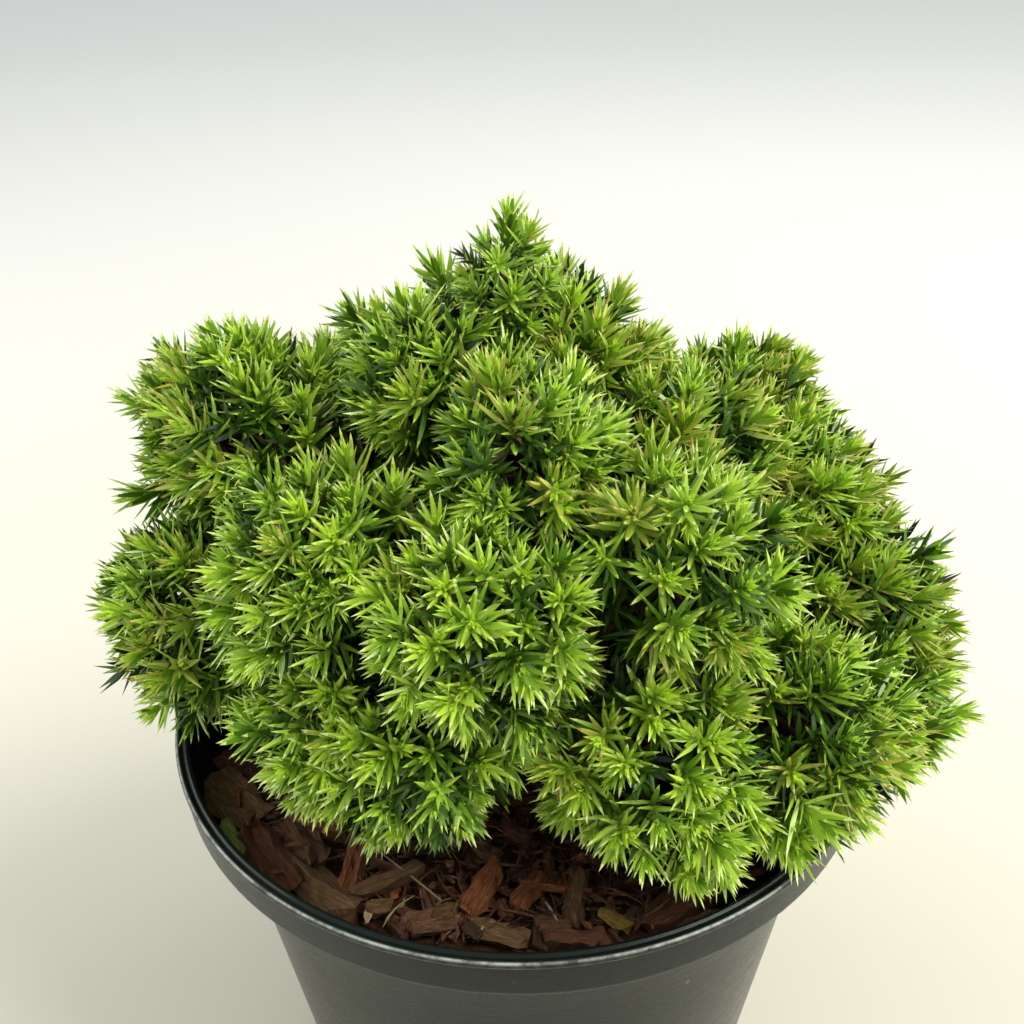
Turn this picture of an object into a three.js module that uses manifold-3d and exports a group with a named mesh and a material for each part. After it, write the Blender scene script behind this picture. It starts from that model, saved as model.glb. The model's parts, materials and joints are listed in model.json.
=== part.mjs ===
// A dwarf garden conifer, a low bumpy mound of short needled shoots, in a round plastic nursery pot.
// Millimetres, +Z up. The origin is the centre of the pot's flat underside, and -Y is the plant's front.
// The pot holds a plug of potting soil and a bed of bark chips. One short trunk stands on the bed,
// a bough leaves it for each mass of foliage, and the last mass sits on the trunk's own tip.
import * as THREE from "three";
import { mergeVertices } from "three/addons/utils/BufferGeometryUtils.js";
import Module from "manifold-3d";

// ---- driving dimensions ----
const GAP = 0.3; // running clearance between two solids that touch on the real plant

const POT = {
  height: 130,
  rimRadius: 85,
  lipWidth: 3.4,
  lipHeight: 2,
  collarRadius: 84.1, // the wide band under the lip, at its lower edge
  collarDepth: 11.4,
  shoulderDrop: 3,
  bodyRadius: 75.6, // just under the collar
  baseRadius: 58.8,
  baseFillet: 3,
  edge: 0.5, // rounding of the lip and the collar, and depth of the groove round the lip's top
  wall: 1.5,
  floor: 2.4,
  sides: 32,
};
const DRAIN = { count: 8, radius: 3.6, fromCentre: 47, sides: 8 };
const SOIL_TOP = 113.7;
const BED = { thickness: 3, edgeGap: 1.2, flatRadius: 20, unevenness: 1.5, rings: 2, sides: 20 };
const CHIPS = {
  count: 16,
  length: [9, 19],
  width: [4.5, 8],
  thickness: [1.6, 3],
  tilt: 0.25, // radians either way
  raised: 0.5, // a chip's middle above the bed's top
  fromFlat: 13,
  fromEdge: 8,
  seed: 11,
};

const TRUNK = {
  foot: [2, 4],
  tip: [-3, 8],
  bow: [4, -2],
  top: 219,
  footRadius: 13, // root flare at the ground
  stemRadius: 8.2,
  tipRadius: 3.4,
  flareHeight: 14,
  sides: 10,
  steps: 8,
};
const BOUGH = {
  rootRadius: 3.3,
  tipRadius: 1.9,
  sides: 5,
  steps: 2,
  sag: 0.12, // as a share of the bough's span
  clearOfGround: 6,
  lowestFork: 7, // above the ground
  highestFork: 46, // below the trunk's tip
  endsBefore: 4, // short of the core of the mass that it carries
};

// Each mass of foliage: name, bearing in degrees (0 is +X, -90 the front), distance out from the
// pot's axis, height of its middle above the rim, and its reach from there to its needle tips.
const MASSES = [
  ["leader", 99, 8, 98, 14.5],
  ["upper_left", 168, 19, 80, 24],
  ["upper_right", 50, 20, 82, 24],
  ["upper_front", -88, 22, 74, 25],
  ["upper_right_side", 2, 37, 63, 26],
  ["upper_back", 88, 41, 70, 28],
  ["left_shoulder", 172, 64, 69, 27],
  ["right_shoulder", 8, 64, 46, 27],
  ["right_back_shoulder", 34, 70, 52, 26],
  ["back_left_shoulder", 139, 58, 51, 29],
  ["back_left", 106, 61, 46, 28],
  ["back_right", 70, 61, 46, 28],
  ["front_left", -145, 50, 54, 27],
  ["front", -100, 47, 51, 27],
  ["front_right", -50, 48, 56, 27],
  ["left_side", -174, 75, 28, 28],
  ["right_side", -3, 77.5, 27.5, 27],
  ["front_left_low", -134, 54, 25, 26],
  ["front_low", -114, 52, 21, 26],
  ["front_right_low", -61, 58, 20, 29],
  ["right_front_low", -36, 73, 17, 28],
  ["right_low", -15, 80, 11, 26],
  ["back_left_low", 149, 71, 20, 29],
  ["back_low_left", 118, 71, 18, 27],
  ["back_low", 87, 70, 18, 27],
  ["back_low_right", 56, 74, 19, 28],
  ["right_back_low", 25, 82, 20, 27],
];
const MASS = {
  coreShare: 0.66, // the dense inner part, as a share of the reach, where the mass is open
  closedShare: 0.9, // and at most, where a neighbour closes it off
  openShare: 0.86, // a direction with this much room or more is open
  leaderTaper: 0.62, // how much further than its reach the leader goes straight up
  sprays: 16, // directions tried round each whole mass; only those that face the open get a spray
  shortest: 4.5, // a spray with less room than this is left out
  inward: -0.1, // no spray points further back towards the trunk than this, as a cosine
  lowest: POT.height + 1.6, // the foliage ends just above the rim
  neighbourGap: 0.8,
  limbGap: 0.6,
  coreLimbGap: 1.6,
  stemTaper: 0.6,
  lift: 0.22, // how much each spray turns up from the mass's own outward direction
  seed: 5,
};
// A spray is a short stalk with a ring of needles standing out of its head, by turns low and wide
// or high and narrow, and one needle more at its end. Heights are shares of the spray's length,
// and radii are those on a mass of the full reach.
const SPRAY = {
  fullReach: 27,
  needlesInRing: 6,
  sunk: 3,
  stalkRadius: 2.2,
  headRadius: 4,
  headHeight: 0.3,
  lowNeedle: { spread: 13.5, height: 0.5 },
  highNeedle: { spread: 9.5, height: 0.9 },
};

const wasm = await Module();
wasm.setup();
const { Manifold, Mesh } = wasm;

// ---- helpers ----
const UP = new THREE.Vector3(0, 0, 1);
const GOLDEN_ANGLE = Math.PI * (3 - Math.sqrt(5));
const vector = (x, y, z) => new THREE.Vector3(x, y, z);
const mix = (a, b, t) => a + (b - a) * t;

// A seeded stream of numbers from 0 to 1.
function randomStream(seed) {
  let state = seed * 2654435761;
  return () => {
    state = (state + 0x6d2b79f5) | 0;
    let t = Math.imul(state ^ (state >>> 15), 1 | state);
    t = (t + Math.imul(t ^ (t >>> 7), 61 | t)) ^ t;
    return ((t ^ (t >>> 14)) >>> 0) / 4294967296;
  };
}

function signedVolume(positions, index) {
  const [a, b, c] = [vector(), vector(), vector()];
  let sum = 0;
  for (let i = 0; i < index.length; i += 3) {
    a.fromArray(positions, index[i] * 3);
    b.fromArray(positions, index[i + 1] * 3);
    c.fromArray(positions, index[i + 2] * 3);
    sum += a.dot(b.cross(c)) / 6;
  }
  return sum;
}

// A closed geometry as a solid, with its faces turned outwards.
function solidOf(geometry) {
  const bare = geometry.index ? geometry.toNonIndexed() : geometry.clone();
  const places = new THREE.BufferGeometry();
  places.setAttribute("position", bare.getAttribute("position"));
  const merged = mergeVertices(places, 1e-4);
  const vertProperties = merged.attributes.position.array;
  const corners = Array.from(merged.index.array);
  const triVerts = new Uint32Array(corners.length);
  const flipped = signedVolume(vertProperties, corners) < 0;
  let kept = 0;
  for (let i = 0; i < corners.length; i += 3) {
    const [a, b, c] = corners.slice(i, i + 3);
    if (a === b || b === c || a === c) continue;
    triVerts.set(flipped ? [a, c, b] : [a, b, c], kept);
    kept += 3;
  }
  return new Manifold(new Mesh({ numProp: 3, vertProperties, triVerts: triVerts.slice(0, kept) }));
}

// The largest piece of a solid, where a cut has left scraps.
function largest(solid) {
  return solid.decompose().reduce((best, piece) => (piece.volume() > best.volume() ? piece : best));
}

function meshOf(solid, name, material) {
  const made = solid.getMesh();
  const positions = new Float32Array(made.numVert * 3);
  for (let i = 0; i < made.numVert; i++) {
    positions.set(made.vertProperties.subarray(i * made.numProp, i * made.numProp + 3), i * 3);
  }
  const geometry = new THREE.BufferGeometry();
  geometry.setAttribute("position", new THREE.BufferAttribute(positions, 3));
  geometry.setIndex(new THREE.BufferAttribute(new Uint32Array(made.triVerts), 1));
  geometry.computeVertexNormals();
  const mesh = new THREE.Mesh(geometry, material);
  mesh.name = name;
  return mesh;
}

// A profile of [radius, height] pairs turned about the Z axis.
function turned(profile, sides) {
  const points = profile.map(([radius, height]) => new THREE.Vector2(radius, height));
  return new THREE.LatheGeometry(points, sides).rotateX(Math.PI / 2);
}

// A round tapering limb along a curve: a cylinder's rings laid square to the curve.
function limbGeometry(curve, radiusAt, sides, steps) {
  const geometry = new THREE.CylinderGeometry(1, 1, 1, sides, steps);
  const frames = curve.computeFrenetFrames(steps);
  const places = geometry.getAttribute("position");
  const place = vector();
  for (let i = 0; i < places.count; i++) {
    place.fromBufferAttribute(places, i);
    const t = place.y + 0.5;
    const step = Math.round(t * steps);
    const radius = radiusAt(t);
    const at = curve.getPoint(t);
    at.addScaledVector(frames.normals[step], place.x * radius);
    at.addScaledVector(frames.binormals[step], place.z * radius);
    places.setXYZ(i, at.x, at.y, at.z);
  }
  return geometry;
}

// ---- pot ----
function bodyRadiusAt(height) {
  const top = POT.height - POT.collarDepth - POT.shoulderDrop;
  return mix(POT.baseRadius, POT.bodyRadius, height / top);
}

function potSolid() {
  const { height, rimRadius, lipWidth, lipHeight, collarRadius, collarDepth, shoulderDrop } = POT;
  const { bodyRadius, baseRadius, baseFillet, edge, wall, floor, sides } = POT;
  const collarFoot = height - collarDepth;
  const shoulder = collarFoot - shoulderDrop;
  const lipInside = rimRadius - lipWidth;
  const underLip = height - lipHeight;
  const outside = [
    [0, 0],
    [baseRadius - baseFillet, 0],
    [baseRadius - 0.3 * baseFillet, 0.3 * baseFillet],
    [bodyRadiusAt(baseFillet), baseFillet],
    [bodyRadius, shoulder],
    [collarRadius - edge, collarFoot - edge],
    [collarRadius, collarFoot + edge],
    [rimRadius - 2 * edge, underLip - edge],
    [rimRadius, underLip + edge],
    [rimRadius, height - edge],
    [rimRadius - 2 * edge, height],
  ];
  const groove = [
    [rimRadius - 0.4 * lipWidth, height - edge],
    [rimRadius - 0.6 * lipWidth, height - edge],
    [lipInside + 2 * edge, height],
    [lipInside, height - edge],
  ];
  const inside = [
    [lipInside, underLip],
    [lipInside, collarFoot + wall],
    [bodyRadius - wall, shoulder + edge],
    [bodyRadiusAt(floor) - wall, floor],
    [0, floor],
  ];
  let pot = solidOf(turned([...outside, ...groove, ...inside], sides));
  for (let i = 0; i < DRAIN.count; i++) {
    const angle = (i * 2 * Math.PI) / DRAIN.count;
    const hole = new THREE.CylinderGeometry(DRAIN.radius, DRAIN.radius, 4 * floor, DRAIN.sides);
    hole.rotateX(Math.PI / 2);
    hole.translate(DRAIN.fromCentre * Math.cos(angle), DRAIN.fromCentre * Math.sin(angle), 0);
    pot = pot.subtract(solidOf(hole));
  }
  return pot;
}

// The pot's inner radius at a height below the collar.
const innerRadiusAt = (height) => bodyRadiusAt(height) - POT.wall;

function soilSolid() {
  const bottom = POT.floor + GAP;
  const profile = [
    [0, bottom],
    [innerRadiusAt(bottom) - GAP, bottom],
    [innerRadiusAt(SOIL_TOP) - GAP, SOIL_TOP],
    [0, SOIL_TOP],
  ];
  return solidOf(turned(profile, POT.sides));
}

// The bed of bark: an uneven disc, flat where the trunk stands, with chips half sunk in it.
function barkSolid() {
  const random = randomStream(CHIPS.seed);
  const bottom = SOIL_TOP + GAP;
  const edge = innerRadiusAt(bottom) - BED.edgeGap;
  const top = bottom + BED.thickness;
  const profile = [
    [0, bottom],
    [edge, bottom],
  ];
  for (let ring = 0; ring <= BED.rings; ring++) {
    profile.push([mix(edge, BED.flatRadius, ring / BED.rings), top]);
  }
  profile.push([0, top]);
  const disc = turned(profile, BED.sides);
  const places = disc.getAttribute("position");
  const heights = new Map();
  for (let i = 0; i < places.count; i++) {
    const [x, y, z] = [places.getX(i), places.getY(i), places.getZ(i)];
    const out = Math.hypot(x, y);
    if (z < bottom + 1 || out < BED.flatRadius + 1) continue;
    const key = `${Math.round(x * 10)},${Math.round(y * 10)}`;
    if (!heights.has(key)) heights.set(key, (random() - 0.6) * BED.unevenness);
    places.setZ(i, z + heights.get(key));
  }
  let bed = solidOf(disc);
  const pick = ([low, high]) => mix(low, high, random());
  const tilt = () => mix(-CHIPS.tilt, CHIPS.tilt, random());
  for (let i = 0; i < CHIPS.count; i++) {
    const chip = new THREE.BoxGeometry(pick(CHIPS.length), pick(CHIPS.width), pick(CHIPS.thickness));
    chip.rotateX(tilt());
    chip.rotateY(tilt());
    chip.rotateZ(random() * Math.PI);
    const out = mix(BED.flatRadius + CHIPS.fromFlat, edge - CHIPS.fromEdge, Math.sqrt(random()));
    const around = i * GOLDEN_ANGLE;
    chip.translate(out * Math.cos(around), out * Math.sin(around), top + CHIPS.raised);
    bed = bed.add(solidOf(chip));
  }
  return largest(bed);
}

// ---- trunk and boughs ----
const GROUND = SOIL_TOP + GAP + BED.thickness + GAP;

const trunkCurve = new THREE.CubicBezierCurve3(
  vector(...TRUNK.foot, GROUND),
  vector(...TRUNK.foot, mix(GROUND, TRUNK.top, 0.33)),
  vector(...TRUNK.bow, mix(GROUND, TRUNK.top, 0.66)),
  vector(...TRUNK.tip, TRUNK.top),
);

// The trunk's radius at a share of its length: a root flare that dies away, then an even taper.
function trunkRadiusAt(t) {
  const above = t * (TRUNK.top - GROUND);
  const flare = Math.max(0, 1 - above / TRUNK.flareHeight);
  const taper = mix(TRUNK.stemRadius, TRUNK.tipRadius, t);
  return taper + (TRUNK.footRadius - TRUNK.stemRadius) * flare * flare;
}

// The trunk, with a flat cut where it meets the ground. A fattened one cuts its neighbours clear.
function trunkSolid(extra = 0) {
  const radiusAt = (t) => trunkRadiusAt(t) + extra;
  const solid = solidOf(limbGeometry(trunkCurve, radiusAt, TRUNK.sides, TRUNK.steps));
  const below = TRUNK.footRadius;
  const underground = new THREE.BoxGeometry(8 * below, 8 * below, 2 * below);
  underground.translate(0, 0, GROUND - below);
  return solid.subtract(solidOf(underground));
}

// The middle of the crown, which every mass faces away from.
const HUB = vector(0, 4, POT.height + 32);

// Where a mass's middle lies, and the curve of the bough that carries it.
function layOut([name, bearing, out, height, reach], index) {
  const angle = THREE.MathUtils.degToRad(bearing);
  const middle = vector(out * Math.cos(angle), out * Math.sin(angle), POT.height + height);
  const facing = middle.clone().sub(HUB).normalize();
  const mass = { name, middle, facing, reach, index };
  if (index === 0) {
    mass.root = trunkCurve.getPoint(1);
    mass.rootDirection = middle.clone().sub(mass.root).normalize();
    mass.rootRadius = TRUNK.tipRadius;
    return mass;
  }
  const lowerOnes = MASSES.filter((other) => other[3] < height).length;
  const forkHeight = mix(
    GROUND + BOUGH.lowestFork,
    TRUNK.top - BOUGH.highestFork,
    lowerOnes / (MASSES.length - 2),
  );
  const fork = trunkCurve.getPoint((forkHeight - GROUND) / (TRUNK.top - GROUND));
  const inward = fork.clone().sub(middle);
  const tipDistance = reach * MASS.coreShare + BOUGH.endsBefore;
  const tip = middle.clone().addScaledVector(inward.clone().normalize(), tipDistance);
  const bend = fork.clone().lerp(tip, 0.5);
  bend.z -= BOUGH.sag * fork.distanceTo(tip);
  bend.z = Math.max(bend.z, GROUND + BOUGH.clearOfGround);
  mass.curve = new THREE.QuadraticBezierCurve3(fork, bend, tip);
  mass.root = tip;
  mass.rootDirection = mass.curve.getTangent(1);
  mass.rootRadius = BOUGH.tipRadius;
  return mass;
}
const masses = MASSES.map(layOut);

const boughRadiusAt = (t) => mix(BOUGH.rootRadius, BOUGH.tipRadius, t);

function boughGeometry({ curve }, extra = 0) {
  return limbGeometry(curve, (t) => boughRadiusAt(t) + extra, BOUGH.sides, BOUGH.steps);
}

// Points along every limb with the radius there, to keep foliage clear of them.
const LIMB_STEPS = 20;
const limbPoints = [];
for (let i = 0; i <= LIMB_STEPS; i++) {
  const t = i / LIMB_STEPS;
  limbPoints.push({ at: trunkCurve.getPoint(t), radius: trunkRadiusAt(t) });
  for (const { curve } of masses.slice(1)) {
    limbPoints.push({ at: curve.getPoint(t), radius: boughRadiusAt(t) });
  }
}

// ---- foliage ----
// Each mass keeps to its own cell: above the rim, and on its own side of the plane where its
// sphere meets each neighbour's.
function cellPlanes(mass) {
  const planes = [{ normal: vector(0, 0, -1), limit: -MASS.lowest }];
  for (const other of masses) {
    if (other === mass) continue;
    const across = other.middle.clone().sub(mass.middle);
    const distance = across.length();
    if (distance > mass.reach + other.reach) continue;
    const share = (distance ** 2 + mass.reach ** 2 - other.reach ** 2) / (2 * distance);
    const normal = across.normalize();
    planes.push({ normal, limit: mass.middle.dot(normal) + share - MASS.neighbourGap / 2 });
  }
  return planes;
}

const inPlanes = (point, planes) => planes.every(({ normal, limit }) => point.dot(normal) <= limit);

const clearOfLimbs = (point, gap) =>
  limbPoints.every(({ at, radius }) => at.distanceTo(point) > radius + gap);

// How far from the middle one can go in a direction, up to a limit, and stay in the cell.
function roomTowards(mass, planes, direction, limit) {
  let room = limit;
  for (const { normal, limit: edge } of planes) {
    const along = direction.dot(normal);
    if (along > 1e-6) room = Math.min(room, (edge - mass.middle.dot(normal)) / along);
  }
  const point = vector();
  for (let distance = 2; distance < room; distance += 0.5) {
    point.copy(mass.middle).addScaledVector(direction, distance);
    if (!clearOfLimbs(point, MASS.coreLimbGap)) return distance - 0.5;
  }
  return room;
}

// The core's radius in a direction: short where a spray will stand on it, and nearly out to the
// cell's wall where a neighbour closes it off, so that no gap is left between two masses.
function coreRadius(mass, planes, direction) {
  const room = roomTowards(mass, planes, direction, mass.reach);
  const open = room > MASS.openShare * mass.reach;
  return Math.min(room, mass.reach * (open ? MASS.coreShare : MASS.closedShare));
}

function coreSolid(mass, planes) {
  const ball = new THREE.IcosahedronGeometry(1, 1);
  const places = ball.getAttribute("position");
  const direction = vector();
  for (let i = 0; i < places.count; i++) {
    direction.fromBufferAttribute(places, i).normalize();
    const radius = coreRadius(mass, planes, direction);
    const at = mass.middle.clone().addScaledVector(direction, radius);
    places.setXYZ(i, at.x, at.y, at.z);
  }
  return solidOf(ball);
}

// The stem that carries the mass, from just clear of its bough's tip to its middle.
function stemSolid(mass) {
  const from = mass.root.clone().addScaledVector(mass.rootDirection, GAP);
  const bend = from.clone().addScaledVector(mass.rootDirection, 0.5 * from.distanceTo(mass.middle));
  const curve = new THREE.QuadraticBezierCurve3(from, bend, mass.middle);
  const radiusAt = (t) => mass.rootRadius * mix(1, MASS.stemTaper, t);
  return solidOf(limbGeometry(curve, radiusAt, BOUGH.sides, BOUGH.steps));
}

// One spray as a single closed skin. Its ring of points zigzags between valleys on the slim head
// and needle tips far out.
function spraySolid(base, axis, length, size, turn, fits) {
  const side = vector(0, 1, 0).cross(axis).normalize();
  const across = axis.clone().cross(side);
  const pointAt = (radius, height, angle) =>
    base
      .clone()
      .addScaledVector(axis, height)
      .addScaledVector(side, radius * Math.cos(angle))
      .addScaledVector(across, radius * Math.sin(angle));
  const head = SPRAY.headHeight * length;
  const headRadius = SPRAY.headRadius * size;

  // A tip that would leave the cell is drawn back towards the head until it fits.
  const needleTip = ({ spread, height }, angle) => {
    for (let share = 1; share > 0.4; share -= 0.1) {
      const tip = pointAt(spread * size * share, mix(head, height * length, share), angle);
      if (fits(tip)) return tip;
    }
    return pointAt(headRadius, head, angle);
  };
  const corners = 2 * SPRAY.needlesInRing;
  const ring = Array.from({ length: corners }, (_, k) => {
    const angle = turn + (k * 2 * Math.PI) / corners;
    if (k % 2 === 0) return pointAt(headRadius, head, angle);
    return needleTip(k % 4 === 1 ? SPRAY.lowNeedle : SPRAY.highNeedle, angle);
  });
  const stalk = Array.from({ length: 3 }, (_, k) => turn + (k * 2 * Math.PI) / 3);
  const collar = stalk.map((angle) => pointAt(SPRAY.stalkRadius, 0.3 * head, angle));
  const foot = stalk.map((angle) => pointAt(SPRAY.stalkRadius, -SPRAY.sunk, angle));
  const point = pointAt(0, length, 0);

  const triangles = [foot.toReversed()];
  const perSide = corners / 3;
  for (let k = 0; k < 3; k++) {
    const next = (k + 1) % 3;
    triangles.push([foot[k], foot[next], collar[next]]);
    triangles.push([foot[k], collar[next], collar[k]]);
    triangles.push([collar[k], collar[next], ring[(next * perSide) % corners]]);
  }
  for (let k = 0; k < corners; k++) {
    const next = (k + 1) % corners;
    triangles.push([collar[Math.floor(k / perSide)], ring[next], ring[k]]);
    triangles.push([point, ring[k], ring[next]]);
  }
  const skin = new THREE.BufferGeometry();
  const places = triangles.flat().flatMap((corner) => corner.toArray());
  skin.setAttribute("position", new THREE.Float32BufferAttribute(places, 3));
  return solidOf(skin);
}

function massSolid(mass) {
  const planes = cellPlanes(mass);
  const random = randomStream(MASS.seed + mass.index);
  const fits = (point) => inPlanes(point, planes) && clearOfLimbs(point, MASS.limbGap);
  let solid = coreSolid(mass, planes).add(stemSolid(mass));
  const facing = new THREE.Quaternion().setFromUnitVectors(UP, mass.facing);
  for (let i = 0; i < MASS.sprays; i++) {
    const height = 1 - (2 * i) / MASS.sprays;
    const around = i * GOLDEN_ANGLE + random() * 0.5;
    const turn = random() * Math.PI;
    const lift = MASS.lift * random();
    const level = Math.sqrt(1 - height * height);
    const outward = vector(level * Math.cos(around), level * Math.sin(around), height);
    outward.applyQuaternion(facing);
    const tall = mass.index === 0 ? MASS.leaderTaper * Math.max(0, outward.z) ** 2 : 0;
    const room = roomTowards(mass, planes, outward, mass.reach * (1 + tall));
    const coreRoom = coreRadius(mass, planes, outward);
    const length = room - coreRoom;
    if (length < MASS.shortest || height < MASS.inward) continue;
    const base = mass.middle.clone().addScaledVector(outward, coreRoom);
    const axis = outward.clone().addScaledVector(UP, lift).normalize();
    const size = mass.reach / SPRAY.fullReach;
    solid = solid.add(spraySolid(base, axis, length, size, turn, fits));
  }
  return solid;
}

// ---- assembly ----
const materials = {
  pot: new THREE.MeshStandardMaterial({ color: 0x3b3f3c, roughness: 0.42, metalness: 0 }),
  soil: new THREE.MeshStandardMaterial({ color: 0x2b1c12, roughness: 0.95, metalness: 0 }),
  bark: new THREE.MeshStandardMaterial({ color: 0x5f3a22, roughness: 0.85, metalness: 0 }),
  wood: new THREE.MeshStandardMaterial({ color: 0x6b4630, roughness: 0.85, metalness: 0 }),
  foliage: new THREE.MeshStandardMaterial({ color: 0x5f9426, roughness: 0.5, metalness: 0 }),
};

const plant = new THREE.Group();
plant.add(meshOf(potSolid(), "pot", materials.pot));
plant.add(meshOf(soilSolid(), "soil", materials.soil));
plant.add(meshOf(barkSolid(), "bark_bed", materials.bark));
plant.add(meshOf(trunkSolid(), "trunk", materials.wood));

// Boughs are cut clear of the trunk and of each other where they leave it.
let limbs = trunkSolid(GAP);
for (const mass of masses.slice(1)) {
  const bough = largest(solidOf(boughGeometry(mass)).subtract(limbs));
  plant.add(meshOf(bough, `bough_${mass.name}`, materials.wood));
  limbs = limbs.add(solidOf(boughGeometry(mass, GAP)));
}

// Every mass is cut clear of all the limbs.
for (const mass of masses) {
  const foliage = largest(massSolid(mass).subtract(limbs));
  plant.add(meshOf(foliage, `foliage_${mass.name}`, materials.foliage));
}

export default plant;
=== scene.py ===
import json
import math

import bpy
import numpy as np
from mathutils import Matrix, Vector

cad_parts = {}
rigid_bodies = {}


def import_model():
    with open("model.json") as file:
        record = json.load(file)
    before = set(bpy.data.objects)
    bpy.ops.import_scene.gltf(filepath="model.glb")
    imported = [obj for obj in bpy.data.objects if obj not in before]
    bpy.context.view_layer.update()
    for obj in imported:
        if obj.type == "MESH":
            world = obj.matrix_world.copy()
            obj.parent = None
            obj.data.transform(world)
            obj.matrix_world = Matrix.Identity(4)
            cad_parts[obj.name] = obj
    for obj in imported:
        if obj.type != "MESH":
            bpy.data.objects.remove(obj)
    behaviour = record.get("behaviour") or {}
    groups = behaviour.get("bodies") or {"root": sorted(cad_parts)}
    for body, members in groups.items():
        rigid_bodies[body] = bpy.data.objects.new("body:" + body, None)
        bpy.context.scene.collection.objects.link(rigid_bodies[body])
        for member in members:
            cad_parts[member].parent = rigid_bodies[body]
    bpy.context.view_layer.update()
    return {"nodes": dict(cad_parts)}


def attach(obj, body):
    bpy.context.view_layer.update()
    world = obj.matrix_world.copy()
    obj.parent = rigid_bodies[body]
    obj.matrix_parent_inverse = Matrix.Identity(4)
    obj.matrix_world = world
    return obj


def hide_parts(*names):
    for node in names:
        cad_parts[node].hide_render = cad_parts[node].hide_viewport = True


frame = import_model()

# A dwarf conifer in a nursery pot. The origin is the middle of the pot's flat underside, +Z is
# up and -Y is the front. Lengths below are millimetres, and MM turns them into Blender's metres.
MM = 0.001
GAP = 0.3

# The groove and the wall's rings are shares of the lip's width and of the wall's height.
POT = {
    "height": 130,
    "rim_radius": 85,
    "lip_width": 3.4,
    "lip_height": 2,
    "groove": (0.4, 0.6),
    "collar_radius": 84.1,
    "collar_depth": 11.4,
    "collar_rounding": 2.2,
    "shoulder_drop": 3,
    "body_radius": 75.6,
    "wall_rings": (0.4, 0.8),
    "base_radius": 58.8,
    "base_fillet": 3,
    "edge": 0.5,
    "wall": 1.5,
    "floor": 2.4,
    "sides": 128,
    "edge_bevel": 0.35,
    "sharp_angle": 24,
    "smooth_angle": 40,
}
RUBBED_AND_HIGHLIGHT_RADII = (84.3, 85.0)  # radii between which the lip's outer edge is painted pale: partly rubbed wear, partly a painted highlight
DRAIN = {"count": 8, "radius": 3.6, "from_centre": 47, "sides": 24}
SOIL_TOP = 113.7
BED = {
    "thickness": 3,
    "edge_gap": 1.2,
    "sides": 96,
    "rings": 14,
    "unevenness": 1.6,
    "mid_level": 0.35,
    "flat_border": 0.5,
    "lump_size": 6,
    "smooth_angle": 60,
}
TRUNK = {
    "foot": (2, 4),
    "tip": (-3, 8),
    "bow": (4, -2),
    "bends_at": (0.33, 0.66),
    "top": 219,
    "foot_radius": 13,
    "stem_radius": 8.2,
    "tip_radius": 3.4,
    "flare_height": 14,
    "sides": 28,
    "steps": 52,
    "groove": 0.86,
    "relief": 0.9,
    "strip_width": 3.0,
    "strip_length": 4.5,
}
BOUGH = {
    "root_radius": 3.3,
    "tip_radius": 1.9,
    "sag": 0.12,
    "clear_of_ground": 6,
    "lowest_fork": 7,
    "highest_fork": 46,
    "ends_before": 4,
    "sides": 12,
    "steps": 9,
    "groove": 0.82,
    "relief": 0.35,
    "strip_width": 1.6,
    "strip_length": 1.0,
}
LIMB_SMOOTH_ANGLE = 50

# Each mass of foliage: bearing in degrees (0 right, -90 front), distance out, height above the
# rim, reach, and how golden its sprays are.
MASSES = {
    "leader": (99, 8, 98, 14.5, 0.5),
    "upper_left": (168, 19, 80, 24, 0.35),
    "upper_right": (50, 20, 82, 24, 0.45),
    "upper_front": (-88, 22, 74, 25, 0.2),
    "upper_right_side": (2, 37, 63, 26, 0.5),
    "upper_back": (88, 41, 70, 28, 0.3),
    "left_shoulder": (172, 64, 69, 27, 0.45),
    "right_shoulder": (8, 64, 46, 27, 0.6),
    "right_back_shoulder": (34, 70, 52, 26, 0.3),
    "back_left_shoulder": (139, 58, 51, 29, 0.2),
    "back_left": (106, 61, 46, 28, 0.2),
    "back_right": (70, 61, 46, 28, 0.2),
    "front_left": (-145, 50, 54, 27, 0.12),
    "front": (-100, 47, 51, 27, 0.1),
    "front_right": (-50, 48, 56, 27, 0.2),
    "left_side": (-174, 75, 28, 28, 0.4),
    "right_side": (-3, 77.5, 27.5, 27, 0.8),
    "front_left_low": (-134, 54, 25, 26, 0.08),
    "front_low": (-114, 52, 21, 26, 0.08),
    "front_right_low": (-61, 58, 20, 29, 0.12),
    "right_front_low": (-36, 73, 17, 28, 0.25),
    "right_low": (-15, 80, 11, 26, 0.45),
    "back_left_low": (149, 71, 20, 29, 0.15),
    "back_low_left": (118, 71, 18, 27, 0.15),
    "back_low": (87, 70, 18, 27, 0.15),
    "back_low_right": (56, 74, 19, 28, 0.15),
    "right_back_low": (25, 82, 20, 27, 0.35),
}
MASS = {
    "core_share": 0.66,
    "leader_taper": 0.62,
    "lowest": POT["height"] + 1.6,
    "neighbour_gap": 0.8,
    "core_limb_gap": 1.6,
    "stem_taper": 0.6,
    "lift": 0.22,
    "seed": 5,
}
# Shoots are dealt out evenly over each mass, one to so many square millimetres.
OUTER_SHOOTS = {"area": 128, "setback": (0, 4.5), "sway": 0.08}
LEADER_SHOOTS = {"area": 80, "size": 0.74, "lift": 0.8}
INNER_SHOOTS = {"area": 300, "share": (0.56, 0.76)}
FEWEST_SHOOTS = 12
SHOOT_SIZE = (0.82, 1.12)
SHOOT_UNREST = 0.1
# Shoots sunk deeper than this in the crown's outline take dark tones, as painted shade.
HIDDEN_DEPTH = 7.5
DEEPEST_SHOOT = 17
NEAREST_SHARE = 0.2  # of a mass's reach: no shoot is dealt nearer to its middle
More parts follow.
